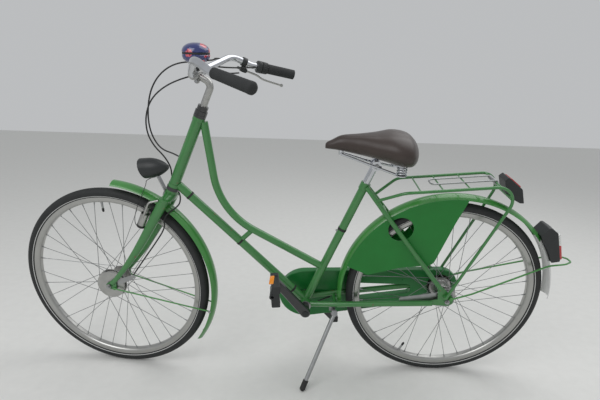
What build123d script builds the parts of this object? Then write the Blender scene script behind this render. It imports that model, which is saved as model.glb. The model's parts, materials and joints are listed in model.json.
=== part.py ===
"""City bicycle with a low step-through frame, parked on its side stand.

The bicycle is built upright in its own frame: X points to the rear, Y to the rider's right and
Z up, with the bottom bracket above the origin and both tyres on Z = 0. At the end the steered
pieces turn a little to the right, the whole bicycle leans on its stand, and the origin moves to
the middle of the bounding box, at the ground.
"""

from build123d import *
from math import copysign, cos, degrees, pi, radians, sin, sqrt
import os

os.makedirs("parts", exist_ok=True)

# ---------------------------------------------------------------- driving dimensions, mm and degrees

# Wheels and where they stand
wheel_radius = 350.0
tyre_width = 37.0
rim_bed = 6.5
rim_height = 20.0
rim_half_width = 13.5
rim_wall = 2.2
rim_well = 7.0
spoke_count = 36
spoke_radius = 1.0
wheelbase = 1190.0
chainstay_length = 498.0
bottom_bracket_drop = 58.0

# Frame tubes
head_angle = 67.0
fork_offset = 76.0
head_tube_low = 440.0
head_tube_high = 695.0
head_tube_radius = 18.0
head_tube_bore = 15.0
steerer_radius = 12.7
seat_angle = 68.4
seat_tube_length = 500.0
seat_tube_radius = 14.3
down_tube_radius = 14.3
top_tube_radius = 12.7
stay_radius = 8.0
chainstay_radius = 10.0
shell_radius = 20.0
shell_half_width = 35.0
dropout_inner = 59.0
dropout_thickness = 4.0
axle_bar_radius = 5.0

# Cockpit
locknut_height = 38.0
bar_radius = 11.0
grip_radius = 16.5
quill_radius = 11.1

# Drive
crank_length = 170.0
crank_rest_angle = 50.0
crank_thickness = 14.0
crank_chamfer = 3.0
pedal_axle_radius = 5.0
pedal_length = 86.0
pedal_depth = 78.0
pedal_thickness = 28.0
pedal_block = 27.0
pedal_play = 0.1
left_crank_inner = 72.0
chain_line = 50.0
chain_pitch = 12.7
chainring_teeth = 38
sprocket_teeth = 19

# Fenders
fender_clearance = 32.0
fender_half_width = 27.0
fender_drop = 14.0
fender_thickness = 1.4

# Stand and parking
lean_angle = 9.0
steer_angle = 8.0
stand_pivot_offset = (106.0, -43.0, -24.0)
stand_tilt = 29.0
stand_forward = 22.0
stand_fold_angle = 115.0
leg_radius = 7.5
foot_radius = 10.0

# Running gaps
shaft_gap = 0.05
running_gap = 0.4

# ---------------------------------------------------------------- places that follow from them

rim_outer_radius = wheel_radius - tyre_width + rim_bed
rim_inner_radius = rim_outer_radius - rim_height
fender_radius = wheel_radius + fender_clearance
rear_axle = Vector(sqrt(chainstay_length**2 - bottom_bracket_drop**2), 0, wheel_radius)
front_axle = rear_axle - Vector(wheelbase, 0, 0)
bottom_bracket = Vector(0, 0, wheel_radius - bottom_bracket_drop)
steer_up = Vector(cos(radians(head_angle)), 0, sin(radians(head_angle)))
steer_front = Vector(-sin(radians(head_angle)), 0, cos(radians(head_angle)))
steer_foot = front_axle - steer_front * fork_offset
seat_up = Vector(cos(radians(seat_angle)), 0, sin(radians(seat_angle)))
seat_tube_top = bottom_bracket + seat_up * seat_tube_length
tyre_ring = wheel_radius - tyre_width / 2


def on_fork(along, ahead=0.0, side=0.0):
    """A point by its distance up the steering axis, ahead of it and to the right."""
    return steer_foot + steer_up * along + steer_front * ahead + Vector(0, side, 0)


def side_plane(side):
    """A plane parallel to the bicycle's own plane, with X to the rear and Y up."""
    return Plane(origin=(0, side, 0), x_dir=(1, 0, 0), z_dir=(0, -1, 0))


def axle_plane(side):
    """The same plane with its origin beside the rear axle."""
    return Plane(origin=(rear_axle.X, side, rear_axle.Z), x_dir=(1, 0, 0), z_dir=(0, -1, 0))


def wheel_plane(axle, angle=0.0):
    """A half plane through an axle: X is the radius and Y is to the right."""
    turn = radians(angle)
    return Plane(origin=axle, x_dir=(cos(turn), 0, sin(turn)), z_dir=(-sin(turn), 0, cos(turn)))


def axle_line(point):
    """The axis of a wheel or crank; a positive turn raises its rear."""
    return Axis(point, (0, -1, 0))


def around(axle, radius, angle, side=0.0):
    """A point at a radius and an angle above the rear horizontal, round an axle."""
    return axle + Vector(radius * cos(radians(angle)), side, radius * sin(radians(angle)))


# ---------------------------------------------------------------- shapes used again and again


def bar(start, end, radius, mode=Mode.ADD):
    """A straight round bar between two points."""
    run = Vector(end) - Vector(start)
    with BuildSketch(Plane(origin=start, z_dir=run)) as section:
        Circle(radius)
    extrude(section.sketch, amount=run.length, mode=mode)


def bent_bar(points, radii, radius, mode=Mode.ADD):
    """A round bar along straight runs with a bend of the given radius at each corner."""
    with BuildLine() as path:
        FilletPolyline(*points, radius=radii)
    with BuildSketch(Plane(origin=path.line @ 0, z_dir=path.line % 0)) as section:
        Circle(radius)
    sweep(section.sketch, path=path.line, mode=mode)


def meet(point, direction, line_point, line_direction):
    """Where a line in the bicycle's own plane meets another one."""
    across = direction.cross(line_direction).Y
    return point + direction * ((line_point - point).cross(line_direction).Y / across)


def disc(centre, radius, side_low, side_high, mode=Mode.ADD):
    """A round disc across the bicycle, between two side distances."""
    with BuildSketch(side_plane(side_high)) as section:
        with Locations((centre.X, centre.Z)):
            Circle(radius)
    extrude(section.sketch, amount=side_high - side_low, mode=mode)


def fender_section(angle, axle, low_edge):
    """A fender's section round its wheel: a thin arc, or with low_edge the space under it too."""
    edge = fender_radius - fender_drop
    with BuildSketch(wheel_plane(axle, angle)) as face:
        with BuildLine():
            outer = ThreePointArc((edge, -fender_half_width), (fender_radius, 0), (edge, fender_half_width))
            if low_edge:
                Polyline(outer @ 1, (low_edge, fender_half_width), (low_edge, -fender_half_width), outer @ 0)
            else:
                inner = ThreePointArc(
                    (edge, fender_half_width - fender_thickness),
                    (fender_radius - fender_thickness, 0),
                    (edge, fender_thickness - fender_half_width),
                )
                Line(outer @ 1, inner @ 0)
                Line(inner @ 1, outer @ 0)
        make_face()
    return face.sketch


def fender(axle, start, end):
    """A curved fender between two angles round its wheel."""
    revolve(fender_section(start, axle, 0), axis=axle_line(axle), revolution_arc=end - start)


def seat_on_fender(axle, start, end):
    """Take away what would reach into or under a fender."""
    space = fender_section(start, axle, fender_radius - 40)
    revolve(space, axis=axle_line(axle), revolution_arc=end - start, mode=Mode.SUBTRACT)


def keep(part, name, body):
    """Label a finished piece and put it on its body."""
    part.label = name
    bodies.setdefault(body, []).append(part)


bodies = {}

# ---------------------------------------------------------------- frame

with BuildPart() as head_tube:
    bar(on_fork(head_tube_low), on_fork(head_tube_high), head_tube_radius)
    for low in (head_tube_low, head_tube_high - 12):
        bar(on_fork(low), on_fork(low + 12), head_tube_radius + 1.5)
    bar(on_fork(head_tube_low - 1), on_fork(head_tube_high + 1), head_tube_bore, Mode.SUBTRACT)
keep(head_tube.part, "head_tube", "frame")

with BuildPart() as headset_cups:
    bar(on_fork(head_tube_low - 12), on_fork(head_tube_low), head_tube_radius + 3)
    bar(on_fork(head_tube_low), on_fork(head_tube_low + 6), head_tube_bore)
    bar(on_fork(head_tube_high), on_fork(head_tube_high + 10), head_tube_radius + 2)
    bar(on_fork(head_tube_high - 6), on_fork(head_tube_high), head_tube_bore)
    bar(on_fork(head_tube_low - 13), on_fork(head_tube_high + 11), steerer_radius + shaft_gap, Mode.SUBTRACT)
keep(headset_cups.part, "headset_cups", "frame")

axle_radius = 8.0
with BuildPart() as bottom_bracket_cups:
    for side in (-1, 1):
        low, high = sorted((side * (shell_half_width - 12), side * shell_half_width))
        disc(bottom_bracket, shell_radius - 3, low, high)
        low, high = sorted((side * shell_half_width, side * (shell_half_width + 4)))
        disc(bottom_bracket, shell_radius - 0.5, low, high)
    disc(bottom_bracket, axle_radius + shaft_gap, -60, 60, Mode.SUBTRACT)
keep(bottom_bracket_cups.part, "bottom_bracket_cups", "frame")

post_radius = 12.7
with BuildPart() as seat_tube:
    bar(bottom_bracket, seat_tube_top, seat_tube_radius)
    bar(seat_tube_top - seat_up * 22, seat_tube_top + seat_up * 3, seat_tube_radius + 2.5)
    bar(seat_tube_top - seat_up * 160, seat_tube_top + seat_up * 4, post_radius + shaft_gap, Mode.SUBTRACT)
    disc(bottom_bracket, shell_radius, -shell_half_width, shell_half_width)
    disc(bottom_bracket, shell_radius - 3, -shell_half_width - 1, shell_half_width + 1, Mode.SUBTRACT)
keep(seat_tube.part, "seat_tube", "frame")

top_tube_knee = on_fork(418, ahead=-174)
top_tube_end = bottom_bracket + seat_up * 155
top_tube_start = on_fork(head_tube_high - 8, ahead=-18)
top_tube_bend = 260.0
with BuildPart() as top_tube:
    bent_bar([top_tube_start, top_tube_knee, top_tube_end], [top_tube_bend], top_tube_radius)
    bar(on_fork(head_tube_low), on_fork(head_tube_high + 40), head_tube_radius + 1.5, Mode.SUBTRACT)
    bar(bottom_bracket, seat_tube_top, seat_tube_radius, Mode.SUBTRACT)
keep(top_tube.part, "top_tube", "frame")

down_tube_start = on_fork(head_tube_low + 17)
tube_run = (bottom_bracket - down_tube_start).normalized()
strut_run = Vector(-tube_run.Z, 0, tube_run.X)
strut_low = down_tube_start + tube_run * 299
strut_high = meet(strut_low, strut_run, top_tube_knee, top_tube_end - top_tube_knee)
with BuildPart() as down_tube:
    bar(down_tube_start, bottom_bracket, down_tube_radius)
    bar(strut_low, strut_high, 8.5)
    bar(on_fork(head_tube_low - 30), on_fork(head_tube_high), head_tube_radius + 1.5, Mode.SUBTRACT)
    disc(bottom_bracket, shell_radius, -40, 40, Mode.SUBTRACT)
    add(seat_tube.part, mode=Mode.SUBTRACT)
    add(headset_cups.part, mode=Mode.SUBTRACT)
    add(top_tube.part, mode=Mode.SUBTRACT)
keep(down_tube.part, "down_tube", "frame")

dropout_outer = dropout_inner + dropout_thickness
stay_end_side = dropout_inner + dropout_thickness / 2
bridge_radius = 6.0
chain_stay_path = [
    bottom_bracket + Vector(8, 24, 1),
    Vector(112, 38, bottom_bracket.Z + 12),
    rear_axle + Vector(-50, stay_end_side, -11),
]
with BuildPart() as chain_stays:
    bent_bar(chain_stay_path, [120], chainstay_radius)
    disc(bottom_bracket, shell_radius, -40, 40, Mode.SUBTRACT)
    with BuildSketch(side_plane(dropout_outer)) as dropout:
        with BuildLine():
            Polyline(
                (rear_axle.X - 62, rear_axle.Z - 17),
                (rear_axle.X + 6, rear_axle.Z - 19),
                (rear_axle.X + 22, rear_axle.Z - 8),
                (rear_axle.X + 22, rear_axle.Z + 14),
                (rear_axle.X - 22, rear_axle.Z + 56),
                (rear_axle.X - 40, rear_axle.Z + 58),
                (rear_axle.X - 32, rear_axle.Z + 6),
                (rear_axle.X - 62, rear_axle.Z - 3),
                close=True,
            )
        make_face()
        with Locations((rear_axle.X, rear_axle.Z)):
            Circle(axle_bar_radius + shaft_gap, mode=Mode.SUBTRACT)
    extrude(dropout.sketch, amount=dropout_thickness)
    mirror(about=Plane.XZ)
    chain_bridge = around(rear_axle, fender_radius + 10, 187)
    disc(chain_bridge, bridge_radius, -34, 34)
    bar(chain_bridge, around(rear_axle, fender_radius - 8, 187), 5)
    seat_on_fender(rear_axle, 180, 192)
keep(chain_stays.part, "chain_stays", "frame")

stay_top = seat_tube_top + Vector(2, 16, -8)
stay_low = rear_axle + Vector(-26, stay_end_side, 46)
stay_knee = stay_top + (stay_low - stay_top) * 0.24 + Vector(0, 14, 0)
seat_stay_path = [stay_top, stay_knee, stay_low]
with BuildPart() as seat_stays:
    bent_bar(seat_stay_path, [150], stay_radius)
    mirror(about=Plane.XZ)
    bar(bottom_bracket, seat_tube_top + seat_up * 20, seat_tube_radius + 2.5, Mode.SUBTRACT)
    seat_bridge = around(rear_axle, fender_radius + 12, 127.5)
    disc(seat_bridge, bridge_radius, -36, 36)
    bar(seat_bridge, around(rear_axle, fender_radius - 8, 127.5), 5)
    seat_on_fender(rear_axle, 120, 135)
    add(chain_stays.part, mode=Mode.SUBTRACT)
keep(seat_stays.part, "seat_stays", "frame")

# ---------------------------------------------------------------- fork and headset

fork_eyelet = front_axle + Vector(20, 0, -8)
blade_stations = [
    (404, 1, 43, 17, 13),
    (300, 12, 47, 16, 11.5),
    (180, 28, 51, 13, 9.5),
    (90, 47, 53, 10, 7.5),
    (14, 69, 54, 8, 5),
]
with BuildPart() as fork:
    bar(on_fork(398), on_fork(head_tube_high + 12), steerer_radius)
    bar(on_fork(362), on_fork(400), 10)
    seat_on_fender(front_axle, 45, 68)
    bar(on_fork(414), on_fork(head_tube_low - 12.4), head_tube_radius + 1)
    with BuildSketch(Plane(origin=on_fork(416), x_dir=steer_front, z_dir=-steer_up)):
        Ellipse(20, 22)
    with BuildSketch(Plane(origin=on_fork(396), x_dir=steer_front, z_dir=-steer_up)):
        Ellipse(20, 58)
    loft()
    for side in (-1, 1):
        for along, ahead, apart, depth, width in blade_stations:
            middle = on_fork(along, ahead, side * apart)
            with BuildSketch(Plane(origin=middle, x_dir=steer_front, z_dir=-steer_up)):
                Ellipse(depth, width)
        loft()
    for low, high in ((-54, -50), (50, 54)):
        with BuildSketch(side_plane(high)) as tip:
            with Locations((front_axle.X, front_axle.Z)):
                Circle(12)
            foot = on_fork(22, 67)
            with Locations((foot.X, foot.Z)):
                Circle(9)
            with Locations((fork_eyelet.X, fork_eyelet.Z)):
                Circle(6)
            make_hull()
        extrude(tip.sketch, amount=high - low)
    disc(front_axle, axle_bar_radius + shaft_gap, -60, 60, Mode.SUBTRACT)
keep(fork.part, "fork", "steering")

with BuildPart() as headset_locknut:
    bar(on_fork(head_tube_high + 10.4), on_fork(head_tube_high + 22), head_tube_radius + 2)
    bar(on_fork(head_tube_high + 22), on_fork(head_tube_high + locknut_height), head_tube_radius - 1)
    bar(on_fork(head_tube_high), on_fork(head_tube_high + 12), steerer_radius, Mode.SUBTRACT)
keep(headset_locknut.part, "headset_locknut", "steering")

# ---------------------------------------------------------------- wheels


def wheel(prefix, axle, left_flange, right_flange):
    """Tyre, rim and laced spokes round one axle; each flange is (side distance, hole radius)."""
    with BuildPart() as tyre:
        with BuildSketch(wheel_plane(axle)):
            with Locations((tyre_ring, 0)):
                Circle(tyre_width / 2)
            with Locations((rim_outer_radius, 0)):
                Rectangle(30, tyre_width + 2, align=(Align.MAX, Align.CENTER), mode=Mode.SUBTRACT)
        revolve(axis=axle_line(axle), revolution_arc=360)
    keep(tyre.part, prefix + "_tyre", prefix + "_wheel")

    with BuildPart() as rim:
        with BuildSketch(wheel_plane(axle)):
            with BuildLine():
                lip = rim_half_width - rim_wall
                flank = rim_outer_radius - 12
                well = Polyline(
                    (flank, -rim_half_width),
                    (rim_outer_radius, -rim_half_width),
                    (rim_outer_radius, -lip),
                    (rim_outer_radius - rim_well / 2, -lip),
                    (rim_outer_radius - rim_well, -5),
                    (rim_outer_radius - rim_well, 5),
                    (rim_outer_radius - rim_well / 2, lip),
                    (rim_outer_radius, lip),
                    (rim_outer_radius, rim_half_width),
                    (flank, rim_half_width),
                )
                right = ThreePointArc(well @ 1, (rim_inner_radius + 2.4, 9.9), (rim_inner_radius, 5))
                left = ThreePointArc(well @ 0, (rim_inner_radius + 2.4, -9.9), (rim_inner_radius, -5))
                Line(right @ 1, left @ 1)
            make_face()
        revolve(axis=axle_line(axle), revolution_arc=360)
    keep(rim.part, prefix + "_rim", prefix + "_wheel")

    per_side = spoke_count // 2
    step = 360 / per_side
    with BuildPart() as spokes:
        for flange, (flange_side, hole_radius) in enumerate((left_flange, right_flange)):
            for count in range(per_side):
                lead = 1 if count % 2 else -1
                angle = count * step + flange * step / 2
                outward = lead * flange_side > 0
                lift = (4.0 if outward else -2.7) * copysign(1, flange_side)
                hole = around(axle, hole_radius, angle, flange_side + lift)
                seat_side = copysign(3, flange_side)
                seat = around(axle, rim_inner_radius - 0.3, angle + lead * 3 * step, seat_side)
                run = seat - hole
                with BuildSketch(Plane(origin=hole, z_dir=run)) as section:
                    RegularPolygon(spoke_radius, 6)
                extrude(section.sketch, amount=run.length)
    keep(spokes.part, prefix + "_spokes", prefix + "_wheel")


wheel("front", front_axle, (-30.0, 50.0), (32.0, 32.0))
wheel("rear", rear_axle, (-30.0, 36.0), (30.0, 36.0))


def hub_shell(axle, profile):
    """A hub shell turned round its axle from (radius, side) points."""
    bore = axle_bar_radius + shaft_gap
    with BuildSketch(wheel_plane(axle)) as section:
        with BuildLine():
            Polyline((bore, profile[0][1]), *profile, (bore, profile[-1][1]), close=True)
        make_face()
    revolve(section.sketch, axis=axle_line(axle), revolution_arc=360)


front_shell = [
    (45, -37),
    (47, -35),
    (47, -31.5),
    (53.5, -31.5),
    (53.5, -28.5),
    (47, -28.5),
    (47, -20),
    (40, -14),
    (19, -9),
    (16, -2),
    (16, 22),
    (19, 30.5),
    (35.5, 30.5),
    (35.5, 33.5),
]
with BuildPart() as front_hub:
    hub_shell(front_axle, front_shell)
keep(front_hub.part, "front_hub", "front_wheel")

with BuildPart() as front_axle_bar:
    disc(front_axle, axle_bar_radius, -66, 66)
    for side in (-1, 1):
        low, high = sorted((side * 54, side * 61))
        disc(front_axle, 8.5, low, high)
    disc(front_axle, 8, 34, 50)
    disc(front_axle, 8, -50, -46)
keep(front_axle_bar.part, "front_axle", "steering")

with BuildPart() as front_brake_plate:
    disc(front_axle, 50, -46, -37.4)
    disc(front_axle, axle_bar_radius, -50, -34, Mode.SUBTRACT)
keep(front_brake_plate.part, "front_brake_plate", "steering")

rear_shell = [
    (30, -34),
    (32, -32),
    (39.5, -31.5),
    (39.5, -28.5),
    (32, -28.5),
    (28, -22),
    (28, 22),
    (32, 28.5),
    (39.5, 28.5),
    (39.5, 31.5),
    (32, 32),
    (30, 34),
    (18, 34),
    (18, 49),
]
with BuildPart() as rear_hub:
    hub_shell(rear_axle, rear_shell)
keep(rear_hub.part, "rear_hub", "rear_wheel")

sprocket_radius = chain_pitch / 2 / sin(pi / sprocket_teeth)
chainring_radius = chain_pitch / 2 / sin(pi / chainring_teeth)
with BuildPart() as rear_sprocket:
    disc(rear_axle, sprocket_radius + 1, chain_line - 1, chain_line + 1)
    disc(rear_axle, 22, 49, chain_line + 3)
    disc(rear_axle, axle_bar_radius + shaft_gap, 40, 60, Mode.SUBTRACT)
keep(rear_sprocket.part, "rear_sprocket", "rear_wheel")

with BuildPart() as rear_axle_bar:
    disc(rear_axle, axle_bar_radius, -76, 76)
    for side in (-1, 1):
        low, high = sorted((side * dropout_outer, side * (dropout_outer + 7)))
        disc(rear_axle, 8.5, low, high)
    disc(rear_axle, 8, 53.4, dropout_inner)
    disc(rear_axle, 26, -dropout_inner + 3, -34.4)
    disc(rear_axle, 8, -dropout_inner, -dropout_inner + 3)
keep(rear_axle_bar.part, "rear_axle", "frame")

# ---------------------------------------------------------------- drive


def chain_loop(grow):
    """The closed outline of the chain's path, offset by a distance."""
    with BuildSketch(side_plane(chain_line)) as loop:
        with Locations((bottom_bracket.X, bottom_bracket.Z)):
            Circle(chainring_radius + grow)
        with Locations((rear_axle.X, rear_axle.Z)):
            Circle(sprocket_radius + grow)
        make_hull()
    return loop.sketch


with BuildPart() as chain:
    extrude(chain_loop(4.5), amount=4, both=True)
    extrude(chain_loop(-4.5), amount=5, both=True, mode=Mode.SUBTRACT)
    extrude(chain_loop(2.0), amount=1.6, both=True, mode=Mode.SUBTRACT)
keep(chain.part, "chain", "frame")

crank_turn = Vector(-cos(radians(crank_rest_angle)), 0, sin(radians(crank_rest_angle)))
left_pedal_axis = bottom_bracket + crank_turn * crank_length
right_pedal_axis = bottom_bracket - crank_turn * crank_length


def crank(axis_end, side, inner):
    """A crank arm with its boss, its pedal eye and the pedal's axle."""
    low, high = sorted((side * inner, side * (inner + crank_thickness)))
    with BuildSketch(side_plane(high)) as arm:
        with Locations((bottom_bracket.X, bottom_bracket.Z)):
            Circle(17)
        with Locations((axis_end.X, axis_end.Z)):
            Circle(12)
        make_hull()
    body = extrude(arm.sketch, amount=high - low)
    outer_face = body.faces().sort_by(Axis.Y)[0 if side < 0 else -1]
    chamfer(outer_face.edges(), crank_chamfer)
    low, high = sorted((side * (shell_half_width + 5), side * inner))
    disc(bottom_bracket, 14, low, high)
    low, high = sorted((side * inner, side * (inner + 96)))
    disc(axis_end, pedal_axle_radius, low, high)


with BuildPart() as left_crank:
    crank(left_pedal_axis, -1, left_crank_inner)
    disc(bottom_bracket, axle_radius, -left_crank_inner - 20, 0, Mode.SUBTRACT)
keep(left_crank.part, "left_crank", "crank_set")

with BuildPart() as right_crank:
    crank(right_pedal_axis, 1, left_crank_inner)
    disc(bottom_bracket, chainring_radius + 1, chain_line - 1.3, chain_line + 1.3)
    disc(bottom_bracket, axle_radius, 0, left_crank_inner + 20, Mode.SUBTRACT)
keep(right_crank.part, "right_crank", "crank_set")

with BuildPart() as crank_axle:
    disc(bottom_bracket, axle_radius, -left_crank_inner - 10, left_crank_inner + 10)
keep(crank_axle.part, "crank_axle", "crank_set")

pedal_tilt = 8.0
pedal_groove = 1.6
pedal_plate = 4.0


def pedal(axis_end, side):
    """A block pedal hanging nearly upright: two ribbed rubber blocks, end plates and a sleeve."""
    near = left_crank_inner + crank_thickness + 8
    low, high = sorted((side * near, side * (near + pedal_length)))
    across = Plane(origin=(axis_end.X, high, axis_end.Z), x_dir=(1, 0, 0), z_dir=(0, -1, 0))
    across = across.rotated((0, 0, pedal_tilt))
    block_middle = (pedal_depth - pedal_block) / 2
    with BuildSketch(across) as blocks:
        for height in (-block_middle, block_middle):
            with Locations((0, height)):
                RectangleRounded(pedal_thickness, pedal_block, 4)
            with Locations((0, height)):
                with GridLocations(pedal_thickness, pedal_block / 4, 2, 3):
                    Rectangle(2 * pedal_groove, pedal_groove, mode=Mode.SUBTRACT)
    extrude(blocks.sketch, amount=pedal_length)
    for start in (0, pedal_length - pedal_plate):
        with BuildSketch(across.offset(start)) as plate:
            RectangleRounded(pedal_thickness - 8, pedal_depth - 8, 8)
        extrude(plate.sketch, amount=pedal_plate)
    for edge in (-1, 1):
        with BuildSketch(across.offset(pedal_length / 2 - 25)) as recess:
            with Locations((0, edge * pedal_depth / 2)):
                Rectangle(16, 2 * pedal_groove)
        extrude(recess.sketch, amount=50, mode=Mode.SUBTRACT)
    disc(axis_end, pedal_axle_radius + 5, low, high)
    disc(axis_end, pedal_axle_radius + pedal_play, -220, 220, Mode.SUBTRACT)


with BuildPart() as left_pedal:
    pedal(left_pedal_axis, -1)
keep(left_pedal.part, "left_pedal", "pedal_left")

with BuildPart() as right_pedal:
    pedal(right_pedal_axis, 1)
keep(right_pedal.part, "right_pedal", "pedal_right")

# ---------------------------------------------------------------- chain case

case_front_radius = 100.0
case_rear_radius = 66.0
case_wall = 2.0
case_edge = 4.5
case_inner = 39.5
case_outer = 66.0


def case_outline(shrink):
    """The chain case's outline, drawn in by a distance."""
    with BuildSketch(side_plane(case_outer)) as outline:
        with Locations((bottom_bracket.X, bottom_bracket.Z)):
            Circle(case_front_radius - shrink)
        with Locations((rear_axle.X, rear_axle.Z)):
            Circle(case_rear_radius - shrink)
        make_hull()
    return outline.sketch


with BuildPart() as chain_case:
    extrude(case_outline(0), amount=case_outer - case_inner)
    rims = chain_case.faces().sort_by(Axis.Y)
    fillet(rims[0].edges() + rims[-1].edges(), case_edge)
    with BuildSketch(side_plane(case_outer)) as window:
        with BuildLine():
            FilletPolyline(
                (bottom_bracket.X + 190, bottom_bracket.Z - 17),
                (rear_axle.X - 105, rear_axle.Z - 38),
                (rear_axle.X - 105, rear_axle.Z - 2),
                (bottom_bracket.X + 190, bottom_bracket.Z + 56),
                close=True,
                radius=[14, 14, 14, 14],
            )
        make_face()
    with BuildSketch(side_plane(case_outer)) as window_wall:
        add(window.sketch)
        offset(amount=case_wall)
    extrude(window.sketch, amount=case_outer - case_inner, mode=Mode.SUBTRACT)
    with BuildSketch(side_plane(case_outer - case_wall)) as hollow:
        add(case_outline(case_wall).moved(Pos(0, -case_wall, 0)))
        add(window_wall.sketch.moved(Pos(0, -case_wall, 0)), mode=Mode.SUBTRACT)
    extrude(hollow.sketch, amount=case_outer - case_inner - 2 * case_wall, mode=Mode.SUBTRACT)
    disc(bottom_bracket, shell_radius, 30, 50, Mode.SUBTRACT)
    disc(bottom_bracket, 26, 55, 70, Mode.SUBTRACT)
    disc(rear_axle, 46, 30, 50, Mode.SUBTRACT)
    disc(rear_axle, 32, 55, 70, Mode.SUBTRACT)
    bent_bar(chain_stay_path, [120], chainstay_radius + 1, Mode.SUBTRACT)
    bent_bar(seat_stay_path, [150], stay_radius + 1, Mode.SUBTRACT)
keep(chain_case.part, "chain_case", "frame")

# ---------------------------------------------------------------- fenders


with BuildPart() as rear_fender:
    fender(rear_axle, 0, 189)
keep(rear_fender.part, "rear_fender", "frame")

with BuildPart() as front_fender:
    fender(front_axle, -33, 86)
keep(front_fender.part, "front_fender", "steering")

# ---------------------------------------------------------------- stand

stand_down = Vector(0, -sin(radians(stand_tilt)), -cos(radians(stand_tilt)))
leg_run = Vector(-sin(radians(stand_forward)), 0, 0) + stand_down * cos(radians(stand_forward))
stand_axis = Vector(0, -cos(radians(stand_tilt)), sin(radians(stand_tilt)))


def turned(point, direction, angle):
    """The move that turns things about a line."""
    return Pos(*point) * Location((0, 0, 0), tuple(direction), angle) * Pos(*(point * -1))


def low_point(pose, axle):
    """The height of the lowest point of the tyre on an axle, in a pose."""
    centre = (pose * Pos(*axle)).position
    spin = (pose * Pos(*axle) * Pos(0, 1, 0)).position - centre
    return centre.Z - tyre_ring * sqrt(1 - spin.Z**2) - tyre_width / 2


steered = turned(steer_foot, steer_up, -steer_angle)
pitch = 0.0
for _ in range(6):
    leaning = Rot(X=lean_angle) * Rot(Y=pitch)
    pitch -= degrees((low_point(leaning * steered, front_axle) - low_point(leaning, rear_axle)) / wheelbase)
parked = Pos(0, 0, -low_point(leaning, rear_axle)) * leaning

stand_pivot = bottom_bracket + Vector(*stand_pivot_offset)
pivot_height = (parked * Pos(*stand_pivot)).position.Z
leg_fall = pivot_height - (parked * Pos(*(stand_pivot + leg_run))).position.Z
leg_length = (pivot_height - foot_radius) / leg_fall
foot_centre = stand_pivot + leg_run * leg_length

with BuildPart() as stand_bracket:
    bar(stand_pivot - stand_axis * 10, stand_pivot - stand_axis * 22, 12)
    bar(stand_pivot - stand_axis * 10, stand_pivot + stand_axis * 12, 5)
    with BuildSketch(Plane.XY.offset(stand_pivot.Z)):
        with Locations((stand_pivot.X - 8, stand_pivot.Y + 24)):
            Rectangle(22, 18)
    extrude(amount=30)
    add(chain_stays.part, mode=Mode.SUBTRACT)
keep(stand_bracket.part, "stand_bracket", "frame")

with BuildPart() as stand_leg:
    bar(stand_pivot - stand_axis * 9.6, stand_pivot + stand_axis * 8, 11)
    bar(stand_pivot, foot_centre - leg_run * 30, leg_radius)
    bar(stand_pivot - stand_axis * 30, stand_pivot + stand_axis * 30, 5 + shaft_gap, Mode.SUBTRACT)
keep(stand_leg.part, "stand_leg", "stand")

with BuildPart() as stand_foot:
    bar(foot_centre - leg_run * 30, foot_centre, foot_radius)
    with Locations(foot_centre):
        Sphere(foot_radius)
keep(stand_foot.part, "stand_foot", "stand")

# ---------------------------------------------------------------- saddle and post

post_top = bottom_bracket + seat_up * 572
with BuildPart() as seat_post:
    bar(seat_tube_top - seat_up * 150, post_top, post_radius)
    disc(post_top, 11, -24, 24)
keep(seat_post.part, "seat_post", "frame")



def by_post(behind, side, above):
    """A point behind, to the right of and above the top of the seat post."""
    return post_top + Vector(behind, side, above)


saddle_stations = [
    (-146.5, 62, 14, 12),
    (-114.5, 69, 22, 26),
    (-60.5, 66, 38, 34),
    (-5.5, 64, 72, 42),
    (44.5, 62, 100, 52),
    (89.5, 52, 104, 54),
    (116.5, 48, 60, 30),
]
saddle_base = [(-170.5, -24), (-170.5, 44), (-60.5, 28), (29.5, 12), (129.5, 12), (129.5, -24)]
with BuildPart() as saddle:
    for behind, above, half_width, half_height in saddle_stations:
        with BuildSketch(Plane(origin=by_post(behind, 0, above), x_dir=(0, 1, 0), z_dir=(1, 0, 0))):
            Ellipse(half_width, half_height)
    loft()
    with BuildSketch(Plane(origin=post_top, x_dir=(1, 0, 0), z_dir=(0, -1, 0))):
        with BuildLine():
            Polyline(*saddle_base, close=True)
        make_face()
    extrude(amount=150, both=True, mode=Mode.SUBTRACT)
keep(saddle.part, "saddle", "frame")

# ---------------------------------------------------------------- cockpit

bar_clamp = on_fork(812, 56.8)
with BuildPart() as stem:
    bent_bar([on_fork(head_tube_high + locknut_height), on_fork(808), bar_clamp], [22], quill_radius)
    disc(bar_clamp, 17, -19, 19)
    disc(bar_clamp, bar_radius + shaft_gap, -20, 20, Mode.SUBTRACT)
keep(stem.part, "stem", "steering")

bar_points = [
    bar_clamp,
    bar_clamp + Vector(0, 26, 0),
    bar_clamp + Vector(12, 62, 14),
    bar_clamp + Vector(63, 172, 50),
    bar_clamp + Vector(120, 210, 22),
    bar_clamp + Vector(252, 285, -8),
]
with BuildPart() as handlebar:
    bent_bar(bar_points, [30, 60, 60, 50], bar_radius)
    mirror(about=Plane.XZ)
keep(handlebar.part, "handlebar", "steering")

left_bar_end = Vector(bar_points[-1].X, -bar_points[-1].Y, bar_points[-1].Z)
right_bar_end = bar_points[-1]
right_bar_run = (bar_points[-1] - bar_points[-2]).normalized()
left_bar_run = Vector(right_bar_run.X, -right_bar_run.Y, right_bar_run.Z)


def sleeve(end, run, length, radius, overhang):
    """A sleeve on the end of the handlebar, closed where it hangs over."""
    bar(end - run * length, end + run * overhang, radius)
    bar(end - run * (length + 1), end, bar_radius + shaft_gap, Mode.SUBTRACT)


with BuildPart() as left_grip:
    sleeve(left_bar_end, left_bar_run, 143, grip_radius, 3)
keep(left_grip.part, "left_grip", "steering")

shifter_length = 40.0
right_grip_length = 95.0
with BuildPart() as right_grip:
    sleeve(right_bar_end, right_bar_run, right_grip_length, grip_radius, 3)
keep(right_grip.part, "right_grip", "steering")

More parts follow.
